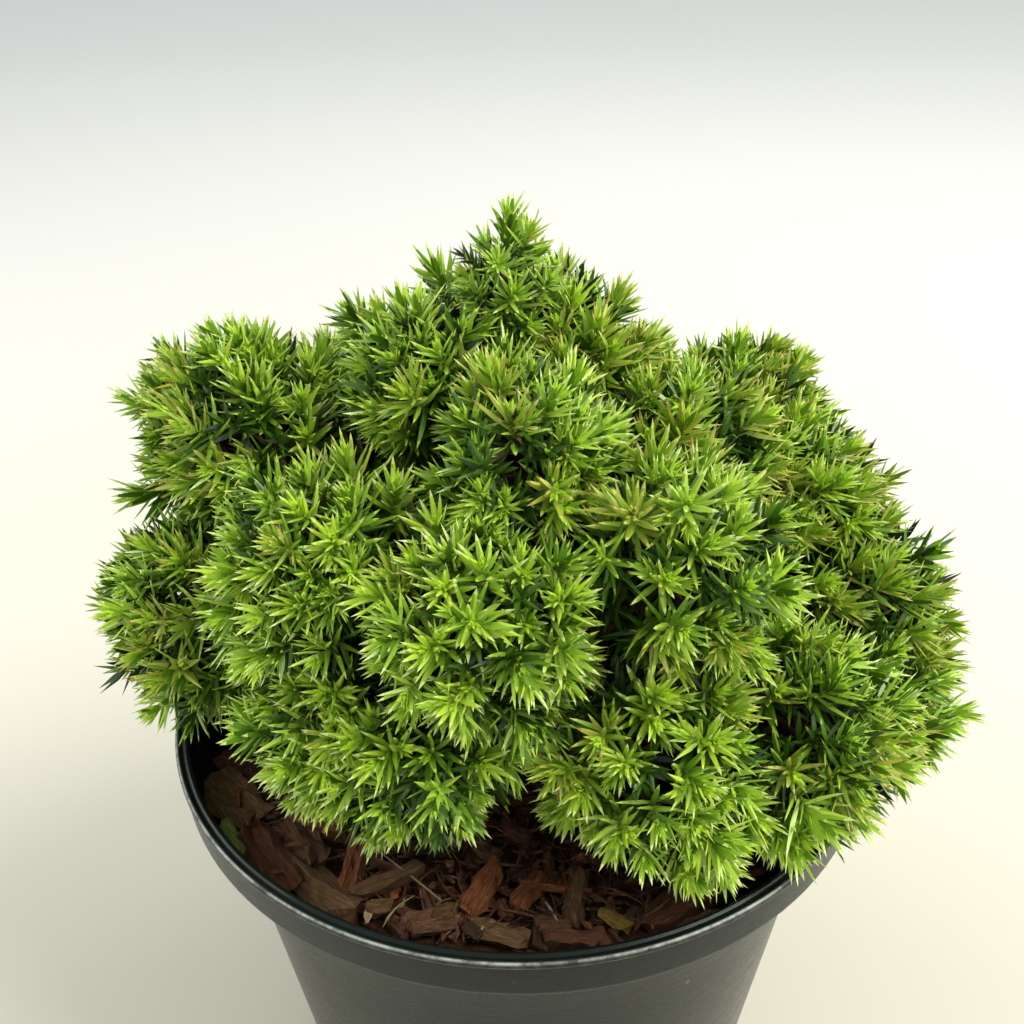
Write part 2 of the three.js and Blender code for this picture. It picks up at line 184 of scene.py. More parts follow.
# Each mass is made of small tufts, whose shoots lean together and leave a crease between them.
# Spread is how much wider a tuft is dealt than its area, and foot is where on the mass's reach
# its twigs fork.
TUFTS = {
    "area": 620,
    "fewest": 8,
    "lean_together": 0.3,
    "crease": 5.2,
    "uneven": (0, 4.0),
    "one_kind": 0.6,
    "spread": 1.6,
    "foot": 0.34,
}
BELOW_REACH = 2.4  # a shoot's needles stand this far past its tip
# Shoots fill the valleys between masses, and lean to face out of the whole crown.
BLEND = 4.0
FILL = {"furthest": 8.0, "outwards": 0.5}
# Places that no shoot's tip stands in: dark gaps between tufts, then notches in the outline.
# Each runs from one place to another, with a radius.
OPENINGS = [
    ((19.5, -54.0, 189.0), (27.0, -30.0, 171.0), 5.5),
    ((53.0, -54.0, 160.0), (61.0, -27.0, 138.5), 6.5),
    ((-3.2, -40.0, 210.4), (1.5, -9.0, 197.0), 4.5),
    ((-14.5, -29.0, 210.4), (-16.5, -3.0, 197.5), 4.5),
    ((-43.5, 8.0, 199.5), (-48.0, 17.0, 193.0), 5.0),
    ((1.5, -44.7, 198.5), (5.5, -22.0, 183.0), 3.5),
    ((-67.5, 24.5, 195.5), (-68.5, 27.5, 193.5), 4.0),
    ((-8.6, 9.5, 243.1), (-8.6, 9.5, 242.0), 2.5),
    ((19.4, -69.0, 139.1), (19.4, -69.0, 138.0), 3.0),
    ((-95.3, -6.6, 152.0), (-93.5, -9.0, 151.0), 3.5),
    ((25.4, 10.5, 224.4), (26.8, 29.0, 215.6), 3.5),
    ((90.1, 4.0, 176.2), (90.1, 4.0, 175.0), 3.0),
    ((-5.1, -54.5, 140.9), (-5.1, -54.5, 140.0), 3.0),
]
# Shoots that stand a little out of the crown on their own: tip, axis and kind.
SINGLE_SHOOTS = {
    "upper_left": [
        ((-16.9, 15.1, 232.0), (-0.3, -0.2, 0.93), "fresh"),
        ((-35.5, 15.0, 222.0), (-0.6, -0.1, 0.8), "green"),
    ],
    "left_shoulder": [
        ((-86.2, 1.3, 185.6), (-0.9, -0.3, 0.1), "fresh"),
        ((-89.2, 17.8, 201.4), (-0.9, -0.1, 0.4), "lime"),
    ],
    "left_side": [
        ((-79.7, -33.2, 151.4), (-0.6, -0.8, -0.1), "fresh"),
        ((-73.5, -31.0, 146.0), (-0.3, -0.8, -0.5), "green"),
        ((-81.8, -12.2, 179.5), (-0.6, -0.3, 0.7), "olive"),
        ((-85.4, -18.1, 175.5), (-0.7, -0.5, 0.5), "fresh"),
        ((-86.8, -23.1, 170.1), (-0.7, -0.6, 0.3), "lime"),
        ((-73.7, -17.2, 178.9), (-0.3, -0.6, 0.7), "olive"),
    ],
    "right_shoulder": [
        ((64.8, -13.6, 181.0), (0.5, -0.6, 0.6), "olive"),
        ((69.9, -7.4, 189.5), (0.6, -0.4, 0.7), "lime"),
        ((74.1, 0.8, 193.5), (0.7, -0.2, 0.7), "olive"),
    ],
    "right_side": [
        ((66.5, -20.0, 171.5), (0.4, -0.7, 0.5), "lime"),
        ((71.5, -23.0, 167.0), (0.7, -0.6, 0.4), "olive"),
    ],
    "right_front_low": [((61.6, -39.6, 169.9), (0.5, -0.6, 0.6), "olive")],
}

BED_FOOT = SOIL_TOP + GAP
GROUND = BED_FOOT + BED["thickness"] + GAP
GOLDEN_ANGLE = math.pi * (3 - math.sqrt(5))
UP = np.array((0.0, 0.0, 1.0))


def mix(a, b, t):
    return a + (b - a) * t


def unit(vectors):
    return vectors / np.linalg.norm(vectors, axis=-1, keepdims=True)


# ---- finishes ----
def shade(code):
    """A colour named by its six hex digits, as linear RGBA."""
    parts = [int(code[i : i + 2], 16) / 255 for i in (0, 2, 4)]
    linear = [p / 12.92 if p <= 0.04045 else ((p + 0.055) / 1.055) ** 2.4 for p in parts]
    return (*linear, 1.0)


def finish(name, code, roughness, specular=0.5):
    """A finish of one colour. Returns the material, its node tree and its shader."""
    material = bpy.data.materials.new(name)
    material.use_nodes = True
    tree = material.node_tree
    surface = tree.nodes["Principled BSDF"]
    surface.inputs["Base Color"].default_value = shade(code)
    surface.inputs["Roughness"].default_value = roughness
    surface.inputs["Specular IOR Level"].default_value = specular
    return material, tree, surface


def object_place(tree, stretch=(1, 1, 1)):
    """Object coordinates, stretched by a Mapping node."""
    place = tree.nodes.new("ShaderNodeTexCoord")
    mapping = tree.nodes.new("ShaderNodeMapping")
    mapping.inputs["Scale"].default_value = stretch
    tree.links.new(place.outputs["Object"], mapping.inputs["Vector"])
    return mapping.outputs["Vector"]


def noise(tree, place, scale, detail=4.0, roughness=0.6):
    node = tree.nodes.new("ShaderNodeTexNoise")
    node.inputs["Scale"].default_value = scale
    node.inputs["Detail"].default_value = detail
    node.inputs["Roughness"].default_value = roughness
    tree.links.new(place, node.inputs["Vector"])
    return node.outputs["Fac"]


def ramp(tree, value, stops):
    """Colours along a value: stops are (position, hex code)."""
    node = tree.nodes.new("ShaderNodeValToRGB")
    tree.links.new(value, node.inputs["Fac"])
    elements = node.color_ramp.elements
    while len(elements) < len(stops):
        elements.new(0.5)
    for element, (position, code) in zip(elements, stops):
        element.position = position
        element.color = shade(code)
    return node.outputs["Color"]


def spread_between(tree, value, low, high, out_low, out_high):
    node = tree.nodes.new("ShaderNodeMapRange")
    tree.links.new(value, node.inputs["Value"])
    node.inputs["From Min"].default_value = low
    node.inputs["From Max"].default_value = high
    node.inputs["To Min"].default_value = out_low
    node.inputs["To Max"].default_value = out_high
    return node.outputs["Result"]


def bumped(tree, surface, value, strength, distance):
    node = tree.nodes.new("ShaderNodeBump")
    node.inputs["Strength"].default_value = strength
    node.inputs["Distance"].default_value = distance
    tree.links.new(value, node.inputs["Height"])
    tree.links.new(node.outputs["Normal"], surface.inputs["Normal"])


def product(tree, first, second):
    node = tree.nodes.new("ShaderNodeMath")
    node.operation = "MULTIPLY"
    tree.links.new(first, node.inputs[0])
    tree.links.new(second, node.inputs[1])
    return node.outputs["Value"]


def laid_over(tree, amount, under, code):
    """A colour, by its hex code, laid over another by an amount."""
    node = tree.nodes.new("ShaderNodeMix")
    node.data_type = "RGBA"
    tree.links.new(amount, node.inputs["Factor"])
    tree.links.new(under, node.inputs[6])
    node.inputs[7].default_value = shade(code)
    return node.outputs[2]


def from_origin(tree, stretch=(1, 1, 1)):
    """How far each place is from the object's origin."""
    node = tree.nodes.new("ShaderNodeVectorMath")
    node.operation = "LENGTH"
    tree.links.new(object_place(tree, stretch), node.inputs[0])
    return node.outputs["Value"]


def pot_plastic():
    """Black plastic that is dusty and scuffed, with a broken pale line round the lip's outer edge
    that is partly rub wear and partly a painted highlight.
    """
    material, tree, surface = finish("pot_plastic", "1a1c19", 0.34, 0.22)
    surface.inputs["Specular Tint"].default_value = (0.86, 0.97, 0.93, 1.0)
    place = object_place(tree)
    cloud = noise(tree, place, 28, 5)
    tint = ramp(tree, cloud, [(0.3, "0e120f"), (0.55, "151a16"), (0.8, "1c211d")])

    speck = tree.nodes.new("ShaderNodeTexVoronoi")
    speck.inputs["Scale"].default_value = 130
    tree.links.new(place, speck.inputs["Vector"])
    dust = spread_between(tree, speck.outputs["Distance"], 0.05, 0.11, 1, 0)
    sparse = spread_between(tree, noise(tree, place, 75, 2), 0.6, 0.68, 0, 0.55)
    tint = laid_over(tree, product(tree, dust, sparse), tint, "a9a99b")

    # The lip's outer edge is painted pale in a broken line, all round: partly rubbed wear, partly
    # a painted highlight.
    from_axis = from_origin(tree, (1, 1, 0))
    line = ramp(
        tree,
        spread_between(tree, from_axis, *[r * MM for r in RUBBED_AND_HIGHLIGHT_RADII], 0, 1),
        [(0.0, "000000"), (0.4, "ffffff"), (0.6, "ffffff"), (1.0, "000000")],
    )
    broken = spread_between(tree, noise(tree, place, 150, 5, 0.75), 0.4, 0.6, 0.15, 0.9)
    tint = laid_over(tree, product(tree, line, broken), tint, "b4b8ae")
    tree.links.new(tint, surface.inputs["Base Color"])

    rubbed = noise(tree, object_place(tree, (1, 1, 7)), 160, 6, 0.7)
    gloss = spread_between(tree, rubbed, 0.3, 0.7, 0.2, 0.34)
    tree.links.new(gloss, surface.inputs["Roughness"])
    bumped(tree, surface, rubbed, 0.12, 0.0004)
    return material


# Finishes of one fine pattern. Surface is (colour, roughness, specular), pattern is (stretch in
# Z, scale, detail, roughness) and relief is (strength, distance in metres).
GRAINY_FINISHES = {
    "potting_soil": {
        "surface": ("2b1c12", 0.95, 0.2),
        "pattern": (1, 420, 6, 0.7),
        "colours": [(0.3, "1a100a"), (0.55, "33221a"), (0.8, "4a3426")],
        "relief": (0.8, 0.002),
    },
    "bark_litter": {
        "surface": ("33200f", 0.9, 0.25),
        "pattern": (1, 520, 8, 0.75),
        "colours": [(0.25, "23150b"), (0.5, "472d1b"), (0.7, "6c442b"), (0.9, "976d45")],
        "relief": (1.0, 0.0025),
    },
    "conifer_bark": {
        "surface": ("6b4630", 0.85, 0.3),
        "pattern": (0.22, 520, 6, 0.65),
        "colours": [(0.28, "1f140d"), (0.48, "402c1e"), (0.66, "5f4734"), (0.86, "80664d")],
        "relief": (0.9, 0.0012),
    },
}


def grainy(name):
    """A material whose colours and relief follow one fine pattern."""
    row = GRAINY_FINISHES[name]
    material, tree, surface = finish(name, *row["surface"])
    stretch, *pattern = row["pattern"]
    grain = noise(tree, object_place(tree, (1, 1, stretch)), *pattern)
    tree.links.new(ramp(tree, grain, row["colours"]), surface.inputs["Base Color"])
    bumped(tree, surface, grain, *row["relief"])
    return material


def bark_chip(name, dark, middle, light):
    """Split bark whose grain runs along each chip's own coordinates."""
    material, tree, surface = finish(name, middle, 0.72, 0.35)
    grain_map = tree.nodes.new("ShaderNodeUVMap")
    grain_map.uv_map = "grain"
    stretch = tree.nodes.new("ShaderNodeMapping")
    stretch.inputs["Scale"].default_value = (1.2, 11, 1)
    tree.links.new(grain_map.outputs["UV"], stretch.inputs["Vector"])
    fine = noise(tree, stretch.outputs["Vector"], 2.2, 6, 0.7)
    tint = ramp(tree, fine, [(0.3, dark), (0.52, middle), (0.74, light)])
    tree.links.new(tint, surface.inputs["Base Color"])
    bumped(tree, surface, fine, 0.7, 0.0012)
    return material


def pale_floor():
    """A plain floor, painted darker round the pot as painted shade and a little whiter away from
    it.
    """
    material, tree, surface = finish("pale_floor", "c6c3b2", 0.5, 0.3)
    # Painted shade: the floor's colour is darkest near the pot and pales outwards.
    away = spread_between(tree, from_origin(tree), 0.1, 1.5, 0, 1)
    stops = [(0.0, "d6d2be"), (0.12, "dad6c6"), (0.4, "e0dfd5"), (1.0, "efefe9")]
    tree.links.new(ramp(tree, away, stops), surface.inputs["Base Color"])
    return material


# The needles' finishes, dealt out by spray.
NEEDLE_COLOURS = {
    "deep": "223a08",
    "shade": "3f6311",
    "green": "6a9322",
    "fresh": "99be39",
    "lime": "bada4c",
    "pale": "dbeb90",
    "bud_lime": "c2e040",
    "olive": "abb53f",
    "straw": "cfd66c",
    "bronze": "a88f43",
    "brown": "75602e",
    "withered": "56502a",
    "dry_tip": "c6bc8a",
}
DULL_NEEDLES = ("deep", "brown", "withered", "dry_tip")
NEEDLE_ROUGHNESS = {"dull": 0.55, "glossy": 0.34}
# A needle takes one for its underside, painted darker as painted shade, one for each upper flank,
# the lit one painted lighter as a painted highlight, and one for its point.
NEEDLE_TONES = {
    # The buried and dark tones are painted shade, mostly for shoots deep in the crown.
    "buried": ("deep", "deep", "shade", "shade"),
    "dark": ("deep", "shade", "shade", "green"),
    "dim": ("shade", "shade", "green", "green"),
    "green": ("shade", "green", "fresh", "lime"),
    "fresh": ("green", "fresh", "lime", "pale"),
    "lime": ("fresh", "lime", "bud_lime", "pale"),
    "bud": ("lime", "bud_lime", "bud_lime", "pale"),
    "olive": ("fresh", "fresh", "olive", "straw"),
    "straw": ("green", "olive", "straw", "straw"),
    "bronze": ("green", "olive", "straw", "bronze"),
    "bronze_tip": ("green", "olive", "bronze", "brown"),
    "brown": ("brown", "bronze", "brown", "brown"),
    "withered": ("withered", "withered", "brown", "dry_tip"),
}
# What each kind of shoot wears: low needles, high needles, bud, side brushes.
SHOOT_KINDS = {
    "lime": ("fresh", "lime", "bud", "lime"),
    "fresh": ("green", "fresh", "bud", "lime"),
    "green": ("dim", "green", "lime", "fresh"),
    "olive": ("green", "olive", "bud", "olive"),
    "bronze": ("olive", "olive", "straw", "bronze"),
    # Hidden shoots wear dark tones as painted shade; withered ones are dead needles, with painted
    # shade on their high needles.
    "hidden": ("buried", "dark", "green", "dark"),
    "withered": ("withered", "dark", "brown", "dark"),
}
COLOUR_NUMBER = {name: i for i, name in enumerate(NEEDLE_COLOURS)}
TONE_NUMBERS = {
    name: [COLOUR_NUMBER[colour] for colour in colours] for name, colours in NEEDLE_TONES.items()
}


# ---- camera, light and floor ----
CAMERA = {"at": (-1.6, -236.7, 321.4), "pitch": 30.93, "roll": -1.16, "lens": 42.2}


def place_camera():
    pitch, roll = math.radians(CAMERA["pitch"]), math.radians(CAMERA["roll"])
    forward = Vector((0, math.cos(pitch), -math.sin(pitch)))
    level_up = Vector((0, math.sin(pitch), math.cos(pitch)))
    level_right = Vector((1, 0, 0))
    right = math.cos(roll) * level_right + math.sin(roll) * level_up
    up = math.cos(roll) * level_up - math.sin(roll) * level_right
    data = bpy.data.cameras.new("camera")
    data.lens = CAMERA["lens"]
    data.sensor_width = 36
    data.clip_start = 0.01
    camera = bpy.data.objects.new("camera", data)
    turned = Matrix((right, up, -forward)).transposed().to_4x4()
    camera.matrix_world = Matrix.Translation(Vector(CAMERA["at"]) * MM) @ turned
    bpy.context.scene.collection.objects.link(camera)
    bpy.context.scene.camera = camera
    bpy.context.scene.view_settings.view_transform = "Standard"


# Soft lights round the crown: place and size in metres, watts and colour.
SOFTBOXES = {
    "key_softbox": ((1.15, -0.45, 1.65), 1.0, 30.0, (1.0, 0.98, 0.935)),
    "left_softbox": ((-1.0, 0.15, 0.6), 0.8, 4.8, (1.0, 0.985, 0.95)),
    "right_softbox": ((1.05, 0.2, 0.55), 0.7, 4.2, (1.0, 0.985, 0.95)),
    "back_softbox": ((0.1, 0.95, 0.9), 0.8, 2.3, (1.0, 1.0, 1.0)),
}
CROWN_MIDDLE = Vector((0, 0, 0.18))
STUDIO_AIR = {"colour": (0.93, 0.96, 1.0, 1.0), "strength": 0.69}
FLOOR = {"sides": 96, "radius": 4, "border": 0.5}


def light_the_studio():
    for name, (at, size, watts, colour) in SOFTBOXES.items():
        data = bpy.data.lights.new(name, "AREA")
        data.shape = "DISK"
        data.size = size
        data.energy = watts
        data.color = colour
        light = bpy.data.objects.new(name, data)
        turned = (Vector(at) - CROWN_MIDDLE).to_track_quat("Z", "Y").to_matrix().to_4x4()
        light.matrix_world = Matrix.Translation(Vector(at)) @ turned
        bpy.context.scene.collection.objects.link(light)
    world = bpy.data.worlds.new("studio")
    bpy.context.scene.world = world
    world.use_nodes = True
    background = world.node_tree.nodes["Background"]
    background.inputs["Color"].default_value = STUDIO_AIR["colour"]
    background.inputs["Strength"].default_value = STUDIO_AIR["strength"]


def deselect():
    for thing in bpy.context.view_layer.objects:
        thing.select_set(False)


def take(name, material):
    """Names the object just added and gives it its finish."""
    piece = bpy.context.object
    piece.name = name
    piece.data.name = name
    piece.data.materials.clear()
    piece.data.materials.append(material)
    return piece


def pick(*pieces):
    """Selects these pieces alone and makes the first one active."""
    deselect()
    for piece in pieces:
        piece.select_set(True)
    bpy.context.view_layer.objects.active = pieces[0]


def settle(piece):
    """Puts the piece's place into its mesh, so the object sits at the origin."""
    pick(piece)
    bpy.ops.object.transform_apply(location=True, rotation=True, scale=True)


def apply_modifiers(piece):
    pick(piece)
    for modifier in list(piece.modifiers):
        bpy.ops.object.modifier_apply(modifier=modifier.name)


def edit_all():
    """Goes into edit mode with everything selected."""
    bpy.ops.object.mode_set(mode="EDIT")
    bpy.ops.mesh.select_all(action="SELECT")


def close_edit():
    """Turns every face outwards and goes back to object mode."""
    bpy.ops.mesh.select_all(action="SELECT")
    bpy.ops.mesh.normals_make_consistent(inside=False)
    bpy.ops.object.mode_set(mode="OBJECT")


def lay_floor():
    deselect()
    bpy.ops.mesh.primitive_circle_add(
        vertices=FLOOR["sides"], radius=FLOOR["radius"], fill_type="NGON", location=(0, 0, 0)
    )
    floor = take("studio_floor", pale_floor())
    edit_all()
    bpy.ops.mesh.inset(thickness=FLOOR["border"], depth=0)
    bpy.ops.object.mode_set(mode="OBJECT")
    settle(floor)


# ---- pot ----
def body_radius_at(height):
    share = height / (POT["height"] - POT["collar_depth"] - POT["shoulder_drop"])
    return mix(POT["base_radius"], POT["body_radius"], share)


def extrude_rings(rows):
    """Carries the selected face up through rows of (radius, height), round the Z axis."""
    radius, height = rows[0]
    for next_radius, next_height in rows[1:]:
        rise = (next_height - height) * MM
        bpy.ops.mesh.extrude_region_move(TRANSFORM_OT_translate={"value": (0, 0, rise)})
        k = next_radius / radius
        centre = (0, 0, next_height * MM)
        bpy.ops.transform.resize(value=(k, k, 1), center_override=centre)
        radius, height = next_radius, next_height


def collar_edge():
    """Rings of the collar's lower edge, which is turned over softly."""
    radius, rounding = POT["collar_radius"], POT["collar_rounding"]
    middle = POT["height"] - POT["collar_depth"] + 0.9 * rounding
    turns = [math.radians(angle) for angle in (80, 60, 40, 20, 0)]
    return [
        (radius - rounding * (1 - math.cos(turn)), middle - rounding * math.sin(turn))
        for turn in turns
    ]


def make_pot():
    edge, lip, fillet = POT["edge"], POT["lip_width"], POT["base_fillet"]
    rim, top = POT["rim_radius"], POT["height"]
    collar_foot = top - POT["collar_depth"]
    shoulder = collar_foot - POT["shoulder_drop"]
    under_lip = top - POT["lip_height"]
    lip_inside = rim - lip
    inside_foot = body_radius_at(POT["floor"]) - POT["wall"]
    outside = [
        (POT["base_radius"] - fillet, 0),
        (POT["base_radius"] - 0.3 * fillet, 0.3 * fillet),
        (body_radius_at(fillet), fillet),
        *[(body_radius_at(share * shoulder), share * shoulder) for share in POT["wall_rings"]],
        (POT["body_radius"], shoulder),
        *collar_edge(),
        (rim - 2 * edge, under_lip - edge),
        (rim, under_lip + edge),
        (rim, top - edge),
        (rim - 2 * edge, top),
    ]
    groove = [
        *[(rim - share * lip, top - edge) for share in POT["groove"]],
        (lip_inside + 2 * edge, top),
        (lip_inside, top - edge),
    ]
    inside = [
        (lip_inside, under_lip),
        (lip_inside, collar_foot + POT["wall"]),
        (POT["body_radius"] - POT["wall"], shoulder + edge),
        (inside_foot, POT["floor"]),
        (0.2 * inside_foot, POT["floor"]),
    ]
    deselect()
    bpy.ops.mesh.primitive_circle_add(
        vertices=POT["sides"], radius=outside[0][0] * MM, fill_type="NGON", location=(0, 0, 0)
    )
    pot = take("nursery_pot", pot_plastic())
    edit_all()
    extrude_rings(outside + groove + inside)
    close_edit()
    settle(pot)

    deselect()
    bpy.ops.mesh.primitive_cylinder_add(
        vertices=DRAIN["sides"],
        radius=DRAIN["radius"] * MM,
        depth=4 * POT["floor"] * MM,
        location=(DRAIN["from_centre"] * MM, 0, 0),
    )
    punch = bpy.context.object
    bpy.ops.object.mode_set(mode="EDIT")
    for _ in range(DRAIN["count"] - 1):
        bpy.ops.mesh.duplicate()
        bpy.ops.transform.rotate(
            value=2 * math.pi / DRAIN["count"], orient_axis="Z", center_override=(0, 0, 0)
        )
    bpy.ops.object.mode_set(mode="OBJECT")
    settle(punch)
    holes = pot.modifiers.new("drain_holes", "BOOLEAN")
    holes.operation = "DIFFERENCE"
    holes.solver = "EXACT"
    holes.object = punch
    softened = pot.modifiers.new("softened_edges", "BEVEL")
    softened.width = POT["edge_bevel"] * MM
    softened.segments = 3
    softened.limit_method = "ANGLE"
    softened.angle_limit = math.radians(POT["sharp_angle"])
    apply_modifiers(pot)
    bpy.data.objects.remove(punch, do_unlink=True)
    bpy.ops.object.shade_smooth_by_angle(angle=math.radians(POT["smooth_angle"]))
    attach(pot, "root")
    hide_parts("pot")


# ---- limbs ----
def bezier(points, t):
    """A point on a Bezier curve of any degree, or many for an array of t."""
    points = [np.asarray(p, float) for p in points]
    t = np.asarray(t, float)[..., None]
    while len(points) > 1:
        points = [a + (b - a) * t for a, b in zip(points, points[1:])]
    return points[0]


TRUNK_CURVE = [
    (*TRUNK["foot"], GROUND),
    (*TRUNK["foot"], mix(GROUND, TRUNK["top"], TRUNK["bends_at"][0])),
    (*TRUNK["bow"], mix(GROUND, TRUNK["top"], TRUNK["bends_at"][1])),
    (*TRUNK["tip"], TRUNK["top"]),
]


def trunk_radius_at(t):
    above = t * (TRUNK["top"] - GROUND)
    flare = max(0, 1 - above / TRUNK["flare_height"])
    taper = mix(TRUNK["stem_radius"], TRUNK["tip_radius"], t)
    return taper + (TRUNK["foot_radius"] - TRUNK["stem_radius"]) * flare * flare


def bough_radius_at(t):
    return mix(BOUGH["root_radius"], BOUGH["tip_radius"], t)


HUB = np.array((0, 4, POT["height"] + 32.0))  # masses face away from here


class Mass:
    """Where one mass of foliage lies, and the curve of the bough that carries it."""

    def __init__(self, index, name, bearing, out, height, reach, golden):
        self.index, self.name, self.reach, self.golden = index, name, reach, golden
        angle = math.radians(bearing)
        self.middle = np.array(
            (out * math.cos(angle), out * math.sin(angle), POT["height"] + height)
        )
        self.facing = unit(self.middle - HUB)
        if index == 0:
            self.curve = None
            self.root = bezier(TRUNK_CURVE, 1)
            self.root_direction = unit(self.middle - self.root)
            self.root_radius = TRUNK["tip_radius"]
            return
        lower = sum(1 for other in MASSES.values() if other[2] < height)
        fork_height = mix(
            GROUND + BOUGH["lowest_fork"],
            TRUNK["top"] - BOUGH["highest_fork"],
            lower / (len(MASSES) - 2),
        )
        fork = bezier(TRUNK_CURVE, (fork_height - GROUND) / (TRUNK["top"] - GROUND))
        tip_distance = reach * MASS["core_share"] + BOUGH["ends_before"]
        tip = self.middle + unit(fork - self.middle) * tip_distance
        bend = (fork + tip) / 2
        bend[2] -= BOUGH["sag"] * np.linalg.norm(fork - tip)
        bend[2] = max(bend[2], GROUND + BOUGH["clear_of_ground"])
        self.curve = [fork, bend, tip]
        self.root = tip
        self.root_direction = unit(tip - bend)
        self.root_radius = BOUGH["tip_radius"]


masses = [Mass(i, name, *row) for i, (name, row) in enumerate(MASSES.items())]


def grow_limb(name, curve, radius_at, form, material):
    """One limb: a fluted ring carried along its curve by extruding and scaling."""
    steps = form["steps"]
    places = bezier(curve, np.linspace(0, 1, steps + 1)) * MM
    aim = Vector(places[-1] - places[0])
    radius = radius_at(0) * MM
    deselect()
    bpy.ops.mesh.primitive_circle_add(
        vertices=form["sides"],
        radius=radius,
        fill_type="NGON",
        location=tuple(places[0]),
        rotation=aim.to_track_quat("Z", "Y").to_euler(),
    )
    limb = take(name, material)
    settle(limb)
    for corner in limb.data.vertices:
        if corner.index % 2:
            corner.co = Vector(places[0]).lerp(corner.co, form["groove"])
    edit_all()
    for i in range(1, steps + 1):
        step = places[i] - places[i - 1]
        bpy.ops.mesh.extrude_region_move(TRANSFORM_OT_translate={"value": tuple(step)})
        next_radius = radius_at(i / steps) * MM
        k = next_radius / radius
        bpy.ops.transform.resize(value=(k, k, k), center_override=tuple(places[i]))
        radius = next_radius
    close_edit()
    return limb


def roughen(limb, form):
    """Presses strips of bark into a limb, long in Z, and applies them."""
    pattern = bpy.data.textures.new("bark_strips", "CLOUDS")
    pattern.noise_scale = form["strip_width"] * MM
    pattern.noise_depth = 3
    ruler = bpy.data.objects.new("bark_ruler", None)
    ruler.scale = (1, 1, form["strip_length"])
    bpy.context.scene.collection.objects.link(ruler)
    finer = limb.modifiers.new("finer", "SUBSURF")
    finer.levels = finer.render_levels = 1
    strips = limb.modifiers.new("bark_strips", "DISPLACE")
    strips.texture = pattern
    strips.texture_coords = "OBJECT"
    strips.texture_coords_object = ruler
    strips.strength = form["relief"] * MM
    apply_modifiers(limb)
    bpy.data.objects.remove(ruler, do_unlink=True)


def make_limbs():
    bark = grainy("conifer_bark")
    trunk = grow_limb("trunk_limb", TRUNK_CURVE, trunk_radius_at, TRUNK, bark)
    roughen(trunk, TRUNK)
    limbs = [trunk]
    for mass in masses[1:]:
        limb = grow_limb("bough_limb", mass.curve, bough_radius_at, BOUGH, bark)
        roughen(limb, BOUGH)
        limbs.append(limb)
    pick(*limbs)
    bpy.ops.object.join()
    trunk.name = trunk.data.name = "trunk_and_boughs"
    bpy.ops.object.shade_smooth_by_angle(angle=math.radians(LIMB_SMOOTH_ANGLE))
    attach(trunk, "root")
    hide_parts("trunk", *["bough_" + mass.name for mass in masses[1:]])


# ---- joined meshes from arrays ----
def joined_mesh(name, corners, triangles, finish_numbers, finishes, smooth=False, grain=None):
    """One piece from corner places in millimetres and triangles that index them."""
    mesh = bpy.data.meshes.new(name)
    count = len(triangles)
    mesh.vertices.add(len(corners))
    mesh.vertices.foreach_set("co", np.ascontiguousarray(corners * MM, np.float32).ravel())
    mesh.loops.add(3 * count)
    mesh.loops.foreach_set("vertex_index", triangles.astype(np.int32).ravel())
    mesh.polygons.add(count)
    mesh.polygons.foreach_set("loop_start", np.arange(0, 3 * count, 3, dtype=np.int32))
    for finish_of_mesh in finishes:
        mesh.materials.append(finish_of_mesh)
    mesh.polygons.foreach_set("material_index", finish_numbers.astype(np.int32))
    mesh.polygons.foreach_set("use_smooth", np.full(count, smooth))
    if grain is not None:
        along = mesh.uv_layers.new(name="grain")
        along.data.foreach_set("uv", grain[triangles].astype(np.float32).ravel())
    mesh.update(calc_edges=True)
    mesh.validate()
    piece = bpy.data.objects.new(name, mesh)
    bpy.context.scene.collection.objects.link(piece)
    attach(piece, "root")
    return piece


def repeated(template, copies, corners_each):
    """The template's triangles for every copy."""
    offsets = np.arange(copies)[:, None, None] * corners_each
    return (template[None] + offsets).reshape(-1, 3)


def tube_triangles(sides, rings, pointed=False):
    """Triangles of a closed tube of rings, whose last ring may be a single point."""
    rows = []
    for ring in range(rings - 1):
        for k in range(sides):
            a, b = ring * sides + k, ring * sides + (k + 1) % sides
            rows += [(a, b, b + sides), (a, b + sides, a + sides)]
    rows += [(0, k + 1, k) for k in range(1, sides - 1)]
    last = (rings - 1) * sides
    if pointed:
        rows += [(last + k, last + (k + 1) % sides, last + sides) for k in range(sides)]
    else:
        rows += [(last, last + k, last + k + 1) for k in range(1, sides - 1)]
    return np.array(rows)


def across(direction):
    """Two unit vectors square to each direction and to each other."""
    helper = np.where(np.abs(direction[..., 2:3]) > 0.9, (0.0, 1.0, 0.0), (0.0, 0.0, 1.0))
    side = unit(np.cross(helper, direction))
    return side, np.cross(direction, side)


def tubes(paths, radii, sides):
    """Corner places of a tube along each path: paths (n, rings, 3), radii (n, rings)."""
    direction = unit(np.gradient(paths, axis=1))
    aim = unit(paths[:, -1] - paths[:, 0])
    side, other = across(aim)
    side = unit(
        side[:, None] - direction * np.sum(side[:, None] * direction, axis=-1, keepdims=True)
    )
    other = np.cross(direction, side)
    angle = np.arange(sides) * 2 * np.pi / sides
    ring = (
        side[:, :, None] * np.cos(angle)[:, None] + other[:, :, None] * np.sin(angle)[:, None]
    )
    return paths[:, :, None] + ring * radii[:, :, None, None]


# ---- foliage: cells and room ----
LIMB_STEPS = 20
PROBE = {"start": 2, "step": 0.75, "limbs_within": 15}


def limb_places():
    share = np.linspace(0, 1, LIMB_STEPS + 1)
    places = [bezier(TRUNK_CURVE, share)]
    radii = [np.array([trunk_radius_at(t) for t in share])]
    for mass in masses[1:]:
        places.append(bezier(mass.curve, share))
        radii.append(bough_radius_at(share))
    return np.concatenate(places), np.concatenate(radii)


LIMB_AT, LIMB_RADIUS = limb_places()


